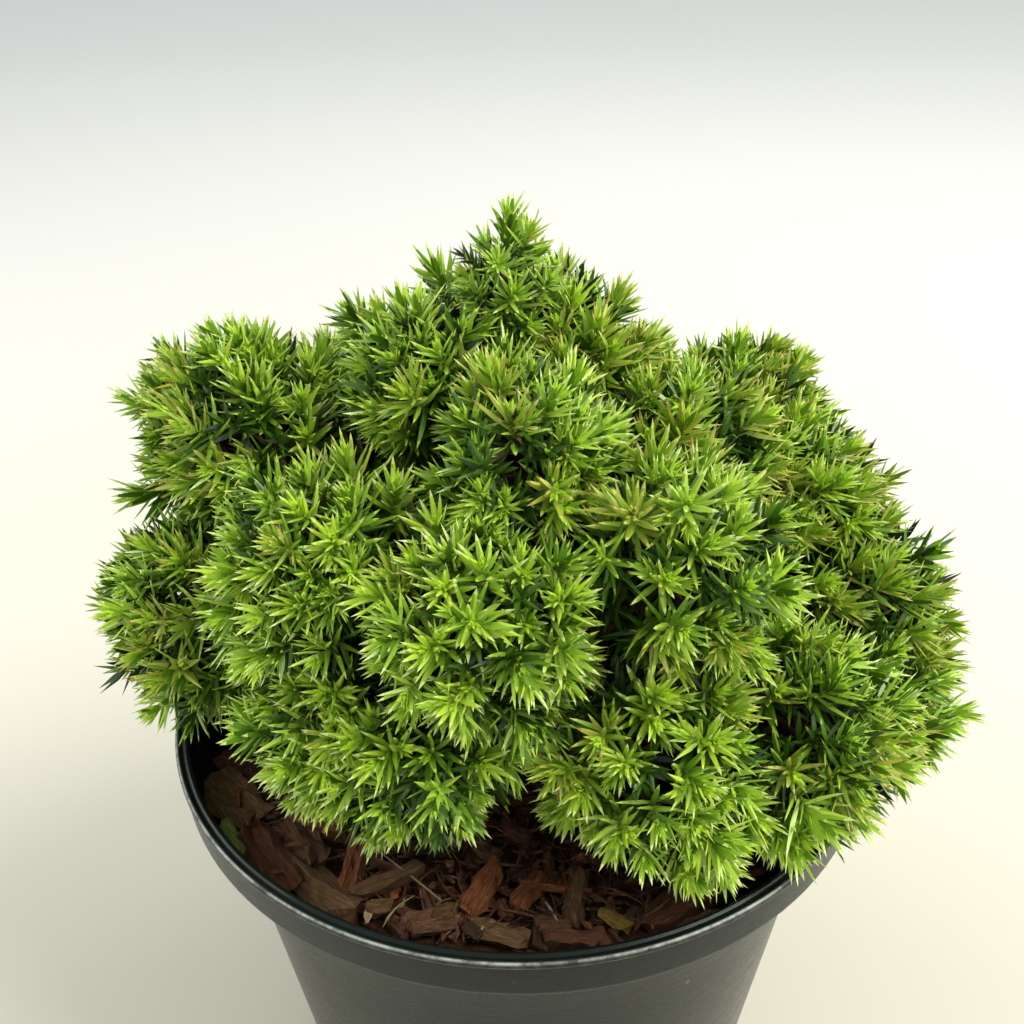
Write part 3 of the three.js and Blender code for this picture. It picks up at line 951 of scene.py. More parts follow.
def cell_planes(mass):
    """The planes that keep a mass above the rim and on its own side of each neighbour."""
    planes = [(-UP, -MASS["lowest"])]
    for other in masses:
        if other is mass:
            continue
        apart = other.middle - mass.middle
        distance = np.linalg.norm(apart)
        if distance > mass.reach + other.reach:
            continue
        share = (distance**2 + mass.reach**2 - other.reach**2) / (2 * distance)
        normal = apart / distance
        planes.append((normal, mass.middle @ normal + share - MASS["neighbour_gap"] / 2))
    return planes


def room_towards(mass, planes, directions, limits):
    """How far each direction can go, up to its limit, inside the cell and clear of limbs."""
    room = limits.copy()
    for normal, limit in planes:
        along = directions @ normal
        edge = limit - mass.middle @ normal
        reachable = np.where(along > 1e-6, edge / np.maximum(along, 1e-6), np.inf)
        room = np.minimum(room, reachable)
    steps = np.arange(PROBE["start"], limits.max(), PROBE["step"])
    places = mass.middle + directions[:, None] * steps[None, :, None]
    within = limits.max() + PROBE["limbs_within"]
    near = np.linalg.norm(LIMB_AT - mass.middle, axis=1) < within
    gap = np.full(places.shape[:2], np.inf)
    for at, radius in zip(LIMB_AT[near], LIMB_RADIUS[near]):
        gap = np.minimum(gap, np.linalg.norm(places - at, axis=2) - radius)
    touching = gap <= MASS["core_limb_gap"]
    last_clear = steps[touching.argmax(axis=1)] - PROBE["step"]
    return np.minimum(room, np.where(touching.any(axis=1), last_clear, np.inf))


def spiral_directions(count, turn, pole):
    """Directions spread evenly over a ball by the golden angle, from the pole down."""
    height = 1 - 2 * (np.arange(count) + 0.5) / count
    around = np.arange(count) * GOLDEN_ANGLE + turn
    level = np.sqrt(1 - height**2)
    even = np.stack([level * np.cos(around), level * np.sin(around), height], axis=1)
    turned = Vector((0, 0, 1)).rotation_difference(Vector(pole)).to_matrix()
    return even @ np.array(turned).T


# ---- foliage: needles ----
LONG_NEEDLE = {"at": (0, 0.42, 0.8), "half_width": (0.36, 0.5, 0.27), "ridge": (0.5, 1, 0.55)}
SHORT_NEEDLE = {"at": (0, 0.42), "half_width": (0.34, 0.5), "ridge": (0.5, 1)}
NEEDLE_THICKNESS = 0.42
# How far needles stray: degrees of lean, radians round the shoot and of roll, shares of the rest.
STRAY = {"around": 0.16, "lean": 6, "roll": 0.35, "length": 0.1, "width": 0.08, "curl": 0.05}


def needle_corners(shape, needles):
    """Three corners at each station of a keeled needle, and its point."""
    at = np.array((*shape["at"], 1.0))
    length = needles["length"][:, None, None]
    along = needles["along"][:, None]
    above = needles["above"][:, None]
    side = np.cross(needles["above"], needles["along"])[:, None]
    curl = needles["curl"][:, None, None]
    spine = (
        needles["base"][:, None]
        + along * length * at[None, :, None]
        + above * length * curl * (at**2)[None, :, None]
    )
    width = needles["width"][:, None, None]
    stations = len(shape["at"])
    half = width * np.array(shape["half_width"])[None, :, None]
    ridge = width * NEEDLE_THICKNESS * np.array(shape["ridge"])[None, :, None]
    body = spine[:, :stations]
    rings = np.stack([body - side * half, body + side * half, body + above * ridge], axis=2)
    rings = rings.reshape(len(body), 3 * stations, 3)
    return np.concatenate([rings, spine[:, -1:]], axis=1)


def needle_finish_numbers(shape, tones):
    """The finish of each triangle, in the order that tube_triangles gives them."""
    # The underside takes a darker finish as painted shade, and the lit flank a lighter one as a
    # painted highlight.
    under, flank, lit, point = 0, 1, 2, 3
    segment = [under, under, flank, flank, lit, lit]
    if len(shape["at"]) == 3:
        parts = segment * 2 + [under] + [point] * 3
    else:
        parts = segment + [under, under, flank, lit]
    return tones[:, parts].ravel()


def spiral_needles(random, foot, axis, plan):
    """Needles in a spiral up a shoot. Each plan value is (at the foot, at the top)."""
    count = plan["count"]
    share = (np.arange(count) + 0.5) / count
    side, other = across(axis)
    angle = np.arange(count) * GOLDEN_ANGLE + random.uniform(0, 2 * np.pi)
    angle = angle + random.normal(0, STRAY["around"], count)
    outward = side * np.cos(angle)[:, None] + other * np.sin(angle)[:, None]
    lean = mix(*plan["lean"], share) + random.normal(0, STRAY["lean"], count)
    lean = np.radians(lean)[:, None]
    along = np.cos(lean) * axis + np.sin(lean) * outward
    above = np.sin(lean) * axis - np.cos(lean) * outward
    roll = random.normal(0, STRAY["roll"], count)[:, None]
    above = np.cos(roll) * above + np.sin(roll) * np.cross(along, above)
    return {
        "base": foot + axis * (plan["stem"] * share)[:, None],
        "along": along,
        "above": above,
        "length": mix(*plan["length"], share) * random.normal(1, STRAY["length"], count),
        "width": mix(*plan["width"], share) * random.normal(1, STRAY["width"], count),
        "curl": mix(*plan["curl"], share) + random.normal(0, STRAY["curl"], count),
    }


def needle_plan(count, stem, lean, length, width, curl):
    """A shoot's needles. Lean in degrees and the rest after it are (at the foot, at the top)."""
    return {
        "count": count,
        "stem": stem,
        "lean": lean,
        "length": length,
        "width": width,
        "curl": curl,
    }


MAIN_PLAN = needle_plan(27, 8.5, (86, 28), (10.4, 7.2), (1.5, 1.2), (0.12, 0.08))
BUD_PLAN = needle_plan(9, 1.8, (32, 6), (4.6, 2.8), (1.3, 1.1), (0.08, 0.0))
BRUSH_PLAN = needle_plan(12, 4.6, (54, 8), (7.2, 4.6), (1.4, 1.15), (0.1, 0.02))
HIDDEN_PLAN = needle_plan(15, 8, (80, 28), (9.0, 6.6), (1.7, 1.4), (0.08, 0.03))
SPIRE_PLAN = needle_plan(62, 14, (84, 24), (8.4, 6.8), (1.5, 1.2), (0.1, 0.06))
SPIRE_BELOW_TOP = 6
# How leafy shoots differ: the needles' count, the share of them that are low ones, and the bud.
LEAFY = {"count_share": (0.8, 1.15), "low": 0.4, "bud_size": (0.8, 1.25), "bud_below_tip": 0.6}
# Brushes at a shoot's sides: shares of shoots with none, one, two and three, and how they stand.
BRUSHES = {
    "shares": (0.3, 0.3, 0.25, 0.15),
    "lean": (38, 66),
    "size": (0.75, 1.1),
    "up_the_stem": (0.25, 0.8),
    "bare_foot": 1.0,
}
# How far a shoot's needles are folded in: young lime shoots are the most closed.
FOLDS = {
    "lime": (0.6, 1.0),
    "fresh": (0.7, 1.08),
    "green": (0.85, 1.1),
    "olive": (0.65, 1.05),
    "bronze": (0.65, 1.0),
}


def scaled(plan, size, count_share=1.0):
    """A plan for a larger or smaller shoot."""
    bigger = {key: tuple(size * v for v in plan[key]) for key in ("length", "width")}
    count = max(3, round(plan["count"] * count_share))
    return {**plan, **bigger, "stem": plan["stem"] * size, "count": count}


NEIGHBOUR_TONE = {
    "buried": "dark",
    "dark": "buried",
    "dim": "dark",
    "green": "dark",
    "fresh": "green",
    "lime": "fresh",
    "bud": "lime",
    "olive": "bronze",
    "straw": "olive",
    "bronze": "bronze_tip",
    "bronze_tip": "olive",
    "brown": "bronze",
    "withered": "dark",
}


def dealt_tones(random, tone, count, stray=0.22):
    """The finishes of each needle of a spray, some of them a shade off."""
    numbers = np.tile(TONE_NUMBERS[tone], (count, 1))
    strays = random.random(count) < stray
    numbers[strays] = TONE_NUMBERS[NEIGHBOUR_TONE[tone]]
    return numbers


def stacked(parts):
    """Corners, triangles and finishes of one mesh, from parts of many copies each."""
    corners, triangles, numbers, used = [], [], [], 0
    for places, template, finish_numbers in parts:
        corners.append(places.reshape(-1, 3))
        triangles.append(repeated(template, len(places), places.shape[1]) + used)
        numbers.append(finish_numbers)
        used += places.shape[0] * places.shape[1]
    return np.concatenate(corners), np.concatenate(triangles), np.concatenate(numbers)


class Needles:
    """The needles of one mass, gathered shoot by shoot."""

    def __init__(self):
        self.rows = {True: [], False: []}
        self.tones = {True: [], False: []}

    def add(self, needles, tones, long):
        self.rows[long].append(needles)
        self.tones[long].append(tones)

    def mesh_arrays(self):
        parts = []
        for long, shape in ((True, LONG_NEEDLE), (False, SHORT_NEEDLE)):
            if not self.rows[long]:
                continue
            keys = self.rows[long][0]
            needles = {key: np.concatenate([row[key] for row in self.rows[long]]) for key in keys}
            tones = np.concatenate(self.tones[long])
            clear = clear_of_pot(needles)
            needles = {key: value[clear] for key, value in needles.items()}
            template = tube_triangles(3, len(shape["at"]), pointed=True)
            numbers = needle_finish_numbers(shape, tones[clear])
            parts.append((needle_corners(shape, needles), template, numbers))
        return stacked(parts)


RIM_CLEARANCE = 1.0
LOWEST_NEEDLE = 122.5


def clear_of_pot(needles):
    """Leaves out the needles that would run into the rim, the mulch or the pot's wall."""
    inside = POT["rim_radius"] - POT["lip_width"] - RIM_CLEARANCE
    outside = POT["rim_radius"] + RIM_CLEARANCE
    clear = np.ones(len(needles["base"]), bool)
    for share in (0.0, 0.5, 1.0):
        place = needles["base"] + needles["along"] * (needles["length"] * share)[:, None]
        radius = np.hypot(place[:, 0], place[:, 1])
        over_lip = (radius > inside) & (radius < outside)
        clear &= ~(over_lip & (place[:, 2] < POT["height"] + RIM_CLEARANCE))
        clear &= place[:, 2] > LOWEST_NEEDLE
    return clear


def closed(plan, share):
    """The same shoot with its needles folded nearer to the stem."""
    return {**plan, "lean": tuple(share * angle for angle in plan["lean"])}


def two_toned(random, low, high, count, upper):
    """The finishes of a spray whose needles change tone from number upper on."""
    tones = dealt_tones(random, low, count)
    tones[upper:] = dealt_tones(random, high, count - upper)
    return tones


def grow_shoot(random, gathered, tip, axis, size, kind):
    """A shoot: spreading needles, a bud at its tip and brushes at its sides."""
    low, high, bud, brush = SHOOT_KINDS[kind]
    if kind in ("hidden", "withered"):
        plan = scaled(HIDDEN_PLAN, size)
        foot = tip - axis * plan["stem"]
        needles = spiral_needles(random, foot, axis, plan)
        tones = two_toned(random, low, high, plan["count"], plan["count"] // 2)
        gathered.add(needles, tones, False)
        return foot
    fold = random.uniform(*FOLDS[kind])
    plan = closed(scaled(MAIN_PLAN, size, random.uniform(*LEAFY["count_share"])), fold)
    foot = tip - axis * plan["stem"]
    needles = spiral_needles(random, foot, axis, plan)
    upper = round(plan["count"] * LEAFY["low"])
    gathered.add(needles, two_toned(random, low, high, plan["count"], upper), True)

    plan = scaled(BUD_PLAN, size * random.uniform(*LEAFY["bud_size"]))
    needles = spiral_needles(random, tip - axis * LEAFY["bud_below_tip"], axis, plan)
    gathered.add(needles, dealt_tones(random, bud, plan["count"]), False)

    for _ in range(random.choice(len(BRUSHES["shares"]), p=BRUSHES["shares"])):
        side, other = across(axis)
        around = random.uniform(0, 2 * np.pi)
        outward = side * math.cos(around) + other * math.sin(around)
        lean = math.radians(random.uniform(*BRUSHES["lean"]))
        leaning = unit(math.cos(lean) * axis + math.sin(lean) * outward)
        plan = scaled(BRUSH_PLAN, size * random.uniform(*BRUSHES["size"]))
        share = random.uniform(*BRUSHES["up_the_stem"])
        at = foot + axis * MAIN_PLAN["stem"] * size * share + leaning * BRUSHES["bare_foot"]
        needles = spiral_needles(random, at, leaning, plan)
        gathered.add(needles, dealt_tones(random, brush, plan["count"]), False)
    return foot


def grow_spire(random, gathered, mass):
    """The crown's highest shoot, upright and set all round with needles."""
    tip = mass.middle + UP * (mass.reach * (1 + MASS["leader_taper"]) - SPIRE_BELOW_TOP)
    foot = tip - UP * SPIRE_PLAN["stem"]
    count = SPIRE_PLAN["count"]
    needles = spiral_needles(random, foot, UP, SPIRE_PLAN)
    gathered.add(needles, two_toned(random, "green", "fresh", count, count // 2), True)
    needles = spiral_needles(random, tip - UP, UP, BUD_PLAN)
    gathered.add(needles, dealt_tones(random, "bud", BUD_PLAN["count"]), False)
    return foot, tip


LEAFY_KINDS = {"lime": 0.36, "fresh": 0.38, "green": 0.26}
BRONZE_SHARE = 0.12  # of the golden shoots
WITHERED_SHARE = 0.16  # of the hidden ones


def outline_depth(places):
    """How far places lie inside the crown's outline, whose valleys between masses are filled."""
    depths = [mass.reach - np.linalg.norm(places - mass.middle, axis=-1) for mass in masses]
    return BLEND * np.log(np.sum(np.exp(np.array(depths) / BLEND), axis=0))


def deal_kind(random, mass):
    """A kind of leafy shoot, dealt by where its mass is."""
    if random.random() < mass.golden:
        return "bronze" if random.random() < BRONZE_SHARE else "olive"
    return str(random.choice(list(LEAFY_KINDS), p=list(LEAFY_KINDS.values())))


def in_opening(tip):
    """Whether a shoot's tip would stand in one of the crown's openings."""
    for start, end, radius in OPENINGS:
        start, line = np.array(start), np.array(end) - start
        share = np.clip((tip - start) @ line / (line @ line), 0, 1)
        if np.linalg.norm(tip - start - line * share) < radius:
            return True
    return False


def shoot_plan(random, mass):
    """Tip, axis, tuft and kind of a mass's shoots: an even outer coat and a sparser inner one."""
    planes = cell_planes(mass)
    ball = 4 * math.pi * mass.reach**2
    tuft_count = max(TUFTS["fewest"], round(ball / TUFTS["area"]))
    tufts = spiral_directions(tuft_count, random.uniform(0, 6), mass.facing)
    tuft_kinds = [deal_kind(random, mass) for _ in tufts]
    sunk = random.uniform(*TUFTS["uneven"], len(tufts))
    span = min(0.9, TUFTS["spread"] * TUFTS["area"] / (math.pi * mass.reach**2))
    widest = 1 - math.sqrt(1 - span)
    leader = mass.index == 0
    rows = []
    outer_area = LEADER_SHOOTS["area"] if leader else OUTER_SHOOTS["area"]
    for coat, area in (("outer", outer_area), ("inner", INNER_SHOOTS["area"])):
        count = max(FEWEST_SHOOTS, round(ball / area))
        directions = spiral_directions(count, random.uniform(0, 2 * np.pi), mass.facing)
        sway = random.normal(0, OUTER_SHOOTS["sway"], directions.shape)
        directions = unit(directions + sway)
        limits = np.full(len(directions), float(mass.reach))
        if leader:
            limits *= 1 + MASS["leader_taper"] * np.maximum(0, directions[:, 2]) ** 2
        rooms = room_towards(mass, planes, directions, limits)
        for outward, room, limit in zip(directions, rooms, limits):
            tuft = int((tufts @ outward).argmax())
            setback = random.uniform(*OUTER_SHOOTS["setback"]) + BELOW_REACH
            if coat == "inner":
                distance = room * random.uniform(*INNER_SHOOTS["share"])
            else:
                distance = room - setback
            tip = mass.middle + outward * distance
            outwards_of_crown = unit(tip - HUB)
            if coat == "outer" and not leader:
                off_middle = min(1.0, (1 - tufts[tuft] @ outward) / widest)
                wanted = setback + sunk[tuft] + TUFTS["crease"] * off_middle**1.5
                move = outline_depth(tip) - wanted
                if move > 0:
                    tip = tip + outwards_of_crown * min(move, FILL["furthest"])
                else:
                    tip = tip + outward * move
            depth = outline_depth(tip)
            if depth > DEEPEST_SHOOT or distance < NEAREST_SHARE * limit:
                continue
            lift = LEADER_SHOOTS["lift"] if leader else MASS["lift"]
            leaning = mix(outward, tufts[tuft], TUFTS["lean_together"])
            if not leader:
                leaning = mix(leaning, outwards_of_crown, FILL["outwards"])
            axis = unit(leaning + UP * lift * random.random())
            axis = unit(axis + random.normal(0, SHOOT_UNREST, 3))
            # Shoots deep in the crown are painted dark, as painted shade, and some of them are
            # withered.
            if coat == "inner" or depth > HIDDEN_DEPTH + sunk[tuft]:
                kind = "withered" if random.random() < WITHERED_SHARE else "hidden"
            else:
                same = random.random() < TUFTS["one_kind"]
                kind = tuft_kinds[tuft] if same else deal_kind(random, mass)
            rows.append((tip, axis, tuft, kind))
    rows = [row for row in rows if not in_opening(row[0])]
    for tip, axis, kind in SINGLE_SHOOTS.get(mass.name, []):
        tuft = int((tufts @ (np.array(tip) - mass.middle)).argmax())
        rows.append((np.array(tip), unit(np.array(axis)), tuft, kind))
    return rows, tufts


# Radii of the wood inside the foliage, from the foot to the tip.
TWIG_RADII = {
    "tuft": (1.1, 0.8),
    "twig": (0.7, 0.5),
    "shoot": (0.5, 0.45, 0.3),
    "spire": (0.9, 0.7, 0.4),
}
STEM_RINGS = 5
TWIG_RINGS = 3
TWIG_SPRING = 4  # how strongly a twig leaves along its tuft, in millimetres
FULL_SIZE_REACH = (16, 23)  # masses between these reaches carry shoots between small and full


def twig_path(start, end, start_direction, rings):
    """A bowed path that leaves along start_direction."""
    reach = np.linalg.norm(end - start)
    bend = start + start_direction * 0.5 * reach
    return bezier([start, bend, end], np.linspace(0, 1, rings))


def grow_mass(mass, needle_finishes, twig_rows):
    random = np.random.default_rng(MASS["seed"] * 1000 + mass.index)
    gathered = Needles()
    plans, tufts = shoot_plan(random, mass)
    start = mass.root + mass.root_direction * GAP
    stem = twig_path(start, mass.middle, mass.root_direction, STEM_RINGS)
    thickness = mass.root_radius * np.linspace(1, MASS["stem_taper"], STEM_RINGS)
    twig_rows["stem"].append((stem, thickness))
    tuft_foot = {}
    for k in sorted({tuft for _, _, tuft, _ in plans}):
        tuft_foot[k] = mass.middle + tufts[k] * mass.reach * TUFTS["foot"]
        path = twig_path(mass.middle, tuft_foot[k], tufts[k], STEM_RINGS)
        twig_rows["stem"].append((path, np.linspace(*TWIG_RADII["tuft"], STEM_RINGS)))
    usual_size = np.interp(mass.reach, FULL_SIZE_REACH, (LEADER_SHOOTS["size"], 1.0))
    if mass.index == 0:
        spire = np.linspace(*grow_spire(random, gathered, mass), TWIG_RINGS)
        twig_rows["shoot"].append((spire, TWIG_RADII["spire"]))
    for tip, axis, k, kind in plans:
        size = usual_size * random.uniform(*SHOOT_SIZE)
        foot = grow_shoot(random, gathered, tip, axis, size, kind)
        leave = unit(foot - tuft_foot[k] + tufts[k] * TWIG_SPRING)
        path = twig_path(tuft_foot[k], foot, leave, TWIG_RINGS)
        twig_rows["twig"].append((path, np.linspace(*TWIG_RADII["twig"], TWIG_RINGS)))
        shoot = np.linspace(foot, tip, TWIG_RINGS)
        twig_rows["shoot"].append((shoot, TWIG_RADII["shoot"]))
    piece = joined_mesh("needles_" + mass.name, *gathered.mesh_arrays(), needle_finishes)
    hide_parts("foliage_" + mass.name)


def make_foliage():
    needle_finishes = []
    for name, code in NEEDLE_COLOURS.items():
        roughness = NEEDLE_ROUGHNESS["dull" if name in DULL_NEEDLES else "glossy"]
        needle_finishes.append(finish("needle_" + name, code, roughness, 0.6)[0])
    twig_rows = {"stem": [], "twig": [], "shoot": []}
    for mass in masses:
        grow_mass(mass, needle_finishes, twig_rows)

    twig_finishes = [
        finish("twig_bark", "46321f", 0.8, 0.3)[0],
        finish("green_stem", "6f8a34", 0.6, 0.4)[0],
    ]
    parts = []
    for kind, sides, number in (("stem", 6, 0), ("twig", 3, 0), ("shoot", 3, 1)):
        paths, radii = [np.array(column) for column in zip(*twig_rows[kind])]
        places = tubes(paths, radii, sides).reshape(len(paths), -1, 3)
        template = tube_triangles(sides, paths.shape[1])
        parts.append((places, template, np.full(len(template) * len(places), number)))
    twigs = joined_mesh("twigs", *stacked(parts), twig_finishes, smooth=True)


# ---- bark mulch ----
CHIP_COLOURS = {
    "chip_red": ("331a0e", "5d3721", "855637"),
    "chip_dark": ("23140b", "3c2618", "5a4029"),
    "chip_brown": ("382212", "624229", "8c6a48"),
    "chip_tan": ("443119", "6c4f30", "987a53"),
    "chip_orange": ("492813", "7d4826", "b57a48"),
    "chip_grey": ("362b1e", "594a38", "80715a"),
    "chip_pale": ("7d6a4c", "a8946f", "cbbb95"),
    "chip_leaf": ("54430f", "8a7026", "b3984a"),
    "chip_stripe": ("3c4a1c", "7f8c40", "c2c989"),
}
CHIP_NAMES = list(CHIP_COLOURS)
CHIP_SHARES = (0.34, 0.16, 0.3, 0.08, 0.08, 0.04, 0.0, 0.0, 0.0)
FIBRE_SHARES = (0.32, 0.08, 0.26, 0.16, 0.12, 0.04, 0.02, 0.0, 0.0)
# Short_ones and low_ones are powers: above 1 they deal more short pieces and more low ones.
CHIPS = {
    "count": 420,
    "length": (5, 17),
    "width": (1.6, 5.5),
    "thickness": (0.9, 2.4),
    "sections": 7,
    "widest": 0.6,
    "lowest": 117.0,
    "highest": 120.6,
    "short_ones": 1.4,
    "low_ones": 1.2,
    "roll": 0.28,
    "tip": 0.22,
    "large_roll": 0.08,
    "past_bed": 3,
    "clear_of_wall": 0.4,
    "seed": 11,
}
# How a chip differs from a plain slab, in shares of its thickness, width or length.
CHIP_WEAR = {
    "ridges": 0.38,
    "narrowing": (0.05, 0.5),
    "roughness": 0.045,
    "thin_edge": 0.3,
    "broken_end": (-0.04, 0.14),
    "cupping": (-0.1, 0.16),
    "bend": (-0.15, 0.15),
}
CRUMBS = {
    "count": 2200,
    "size": (0.4, 1.3),
    "height": (117.2, 120.2),
    "corner_reach": (0.5, 1.3),
    "roughness": 0.18,
    "stretch": (0.8, 2.6),
    "clear_of_edge": 1.5,
}
FIBRES = {
    "count": 1400,
    "length": (3, 13),
    "radius": (0.12, 0.42),
    "height": (118.4, 121.4),
    "short_ones": 1.6,
    "bow": 0.2,
    "slope": 0.12,
    "twist": 0.1,
    "profile": (0.4, 1, 1, 0.8, 0.3),
    "clear_of_edge": 2,
    "clear_of_wall": 0.5,
}
# A hair-thin dry stalk at the front. A profile is the share of the radius at each ring.
STALK = {
    "curve": ((-32.2, -48.5, 122.4), (-25.0, -55.5, 122.6), (-18.2, -61.6, 121.4)),
    "radius": 0.26,
    "profile": (0.7, 1, 1, 0.9, 0.7),
}
CHIP_TOP = (-0.5, -0.27, 0.0, 0.25, 0.5)
CHIP_UNDER = (0.34, 0.0, -0.34)
CLEAR_OF_TRUNK = 14
GRAIN_LENGTH = 10  # millimetres of bark to one unit of the grain's coordinates
GRAIN_SHIFT = 40  # pieces start up to so far along the grain's pattern
UNDERSIDE_SHIFT = 9  # millimetres between the grain of a chip's face and of its underside
# The large pieces at the front: place, length, width, thickness, bearing in degrees, tip, colour.
LARGE_CHIPS = [
    ((-43.5, -57.0, 119.6), 23, 9.5, 4.6, -46, 4, "chip_tan"),
    ((-46.5, -38.5, 120.6), 17, 4.6, 3.2, -20, -3, "chip_orange"),
    ((-30.0, -55.5, 120.4), 17, 5.0, 3.0, 23, 6, "chip_tan"),
    ((-57.5, -47.5, 119.8), 24, 9.5, 3.4, -54, -2, "chip_red"),
    ((-50.5, -42.5, 119.2), 20, 9.0, 3.4, -58, 3, "chip_brown"),
    ((-68.0, -29.5, 120.2), 21, 11.5, 2.0, -49, 2, "chip_tan"),
    ((-10.0, -58.5, 120.2), 16, 6.0, 3.4, 62, 5, "chip_orange"),
    ((0.5, -58.5, 120.0), 12, 5.0, 3.0, 58, -4, "chip_orange"),
    ((18.0, -66.5, 119.8), 7.5, 3.8, 1.8, -43, 3, "chip_leaf"),
    ((-65.5, -42.8, 121.6), 11.5, 3.0, 0.9, -50, 0, "chip_stripe"),
    ((-33.3, -63.6, 120.6), 5.5, 1.6, 1.2, 78, 8, "chip_pale"),
    ((-20.0, -66.5, 119.8), 13, 6.0, 3.2, 12, -5, "chip_brown"),
    ((30.0, -63.5, 119.8), 15, 6.5, 3.2, 28, 4, "chip_red"),
    ((9.0, -70.5, 119.6), 13, 5.5, 2.8, -8, 3, "chip_red"),
]


def bed_radius():
    return body_radius_at(BED_FOOT) - POT["wall"] - BED["edge_gap"]


def wall_room(height):
    """The pot's inner radius beside the mulch, where the wall steps out under the collar."""
    shoulder = POT["height"] - POT["collar_depth"] - POT["shoulder_drop"]
    inner = POT["body_radius"] - POT["wall"]
    outer = POT["rim_radius"] - POT["lip_width"]
    step_foot = shoulder + POT["edge"]
    step_top = POT["height"] - POT["collar_depth"] + POT["wall"]
    return np.interp(height, (step_foot, step_top), (inner, outer))


def meets_wall(places, clearance):
    """Whether any of the places comes too near to the pot's wall."""
    return np.any(np.hypot(places[:, 0], places[:, 1]) > wall_room(places[:, 2]) - clearance)


def spot_on_bed(random, margin):
    """A place on the bed, as likely everywhere, clear of the trunk's foot."""
    while True:
        radius = math.sqrt(random.random()) * (bed_radius() - margin)
        angle = random.uniform(0, 2 * math.pi)
        x, y = radius * math.cos(angle), radius * math.sin(angle)
        if math.hypot(x - TRUNK["foot"][0], y - TRUNK["foot"][1]) > CLEAR_OF_TRUNK:
            return x, y


def chip_body(random, length, width, thickness):
    """A slab of bark lying along X, with a ridged face, worn edges and broken ends."""
    sections, top = CHIPS["sections"], len(CHIP_TOP)
    along = np.linspace(-0.5, 0.5, sections)
    spread = np.concatenate([CHIP_TOP, CHIP_UNDER])
    ring = len(spread)
    level = np.where(np.arange(ring) < top, 0.5, -0.5)
    ridges = random.uniform(-CHIP_WEAR["ridges"], CHIP_WEAR["ridges"], ring)
    taper = 1 - np.abs(along * 2) ** 3 * random.uniform(*CHIP_WEAR["narrowing"])
    body = np.zeros((sections, ring, 3))
    body[:, :, 0] = along[:, None] * length
    body[:, :, 1] = spread * width * taper[:, None]
    body[:, :, 2] = (level + ridges) * thickness
    body[:, :, 1:] += random.normal(0, CHIP_WEAR["roughness"] * width, (sections, ring, 2))
    body[:, (0, top - 1), 2] -= CHIP_WEAR["thin_edge"] * thickness
    body[0, :, 0] += random.uniform(*CHIP_WEAR["broken_end"], ring) * length
    body[-1, :, 0] -= random.uniform(*CHIP_WEAR["broken_end"], ring) * length
    body[:, :, 2] += along[:, None] ** 2 * random.uniform(*CHIP_WEAR["cupping"]) * length
    body[:, :, 1] += along[:, None] ** 2 * random.uniform(*CHIP_WEAR["bend"]) * length
    return body


def laid(body, place, tips):
    """Turns a chip by (roll, tip, bearing) in radians and sets it down."""
    turn = (
        Matrix.Rotation(tips[2], 3, "Z")
        @ Matrix.Rotation(-tips[1], 3, "Y")
        @ Matrix.Rotation(tips[0], 3, "X")
    )
    return body.reshape(-1, 3) @ np.array(turn).T + place


def chip_arrays(random):
    """Slabs of bark, the large ones where they are told and the rest strewn over the bed."""
    sections, ring = CHIPS["sections"], len(CHIP_TOP) + len(CHIP_UNDER)
    template = tube_triangles(ring, sections)
    places, grain, numbers = [], [], []

    def lay(body, place, tips, colour):
        places.append(laid(body, place, tips))
        flat = body.reshape(-1, 3)
        offset = random.uniform(0, GRAIN_SHIFT, 2)
        on_face = np.arange(len(flat)) % ring < len(CHIP_TOP)
        across_chip = flat[:, 1] + np.where(on_face, 0, UNDERSIDE_SHIFT)
        grain.append(np.stack([flat[:, 0], across_chip], axis=1) / GRAIN_LENGTH + offset)
        numbers.append(np.full(len(template), CHIP_NAMES.index(colour)))

    for place, length, width, thickness, bearing, tip, colour in LARGE_CHIPS:
        body = chip_body(random, length, width, thickness)
        roll = random.normal(0, CHIPS["large_roll"])
        lay(body, place, (roll, math.radians(tip), math.radians(bearing)), colour)
    while len(places) < CHIPS["count"]:
        length = mix(*CHIPS["length"], random.random() ** CHIPS["short_ones"])
        width = min(random.uniform(*CHIPS["width"]), CHIPS["widest"] * length)
        body = chip_body(random, length, width, random.uniform(*CHIPS["thickness"]))
        x, y = spot_on_bed(random, -CHIPS["past_bed"])
        height = mix(CHIPS["lowest"], CHIPS["highest"], random.random() ** CHIPS["low_ones"])
        roll, tip = random.normal(0, CHIPS["roll"]), random.normal(0, CHIPS["tip"])
        tips = (roll, tip, random.uniform(0, 2 * math.pi))
        if meets_wall(laid(body, (x, y, height), tips), CHIPS["clear_of_wall"]):
            continue
        lay(body, (x, y, height), tips, random.choice(CHIP_NAMES, p=CHIP_SHARES))
    triangles = repeated(template, len(places), sections * ring)
    return np.concatenate(places), triangles, np.concatenate(numbers), np.concatenate(grain)


OCTAHEDRON = np.array(((1, 0, 0), (-1, 0, 0), (0, 1, 0), (0, -1, 0), (0, 0, 1), (0, 0, -1)))
OCTAHEDRON_TRIANGLES = np.array(
    ((0, 2, 4), (2, 1, 4), (1, 3, 4), (3, 0, 4), (2, 0, 5), (1, 2, 5), (3, 1, 5), (0, 3, 5))
)


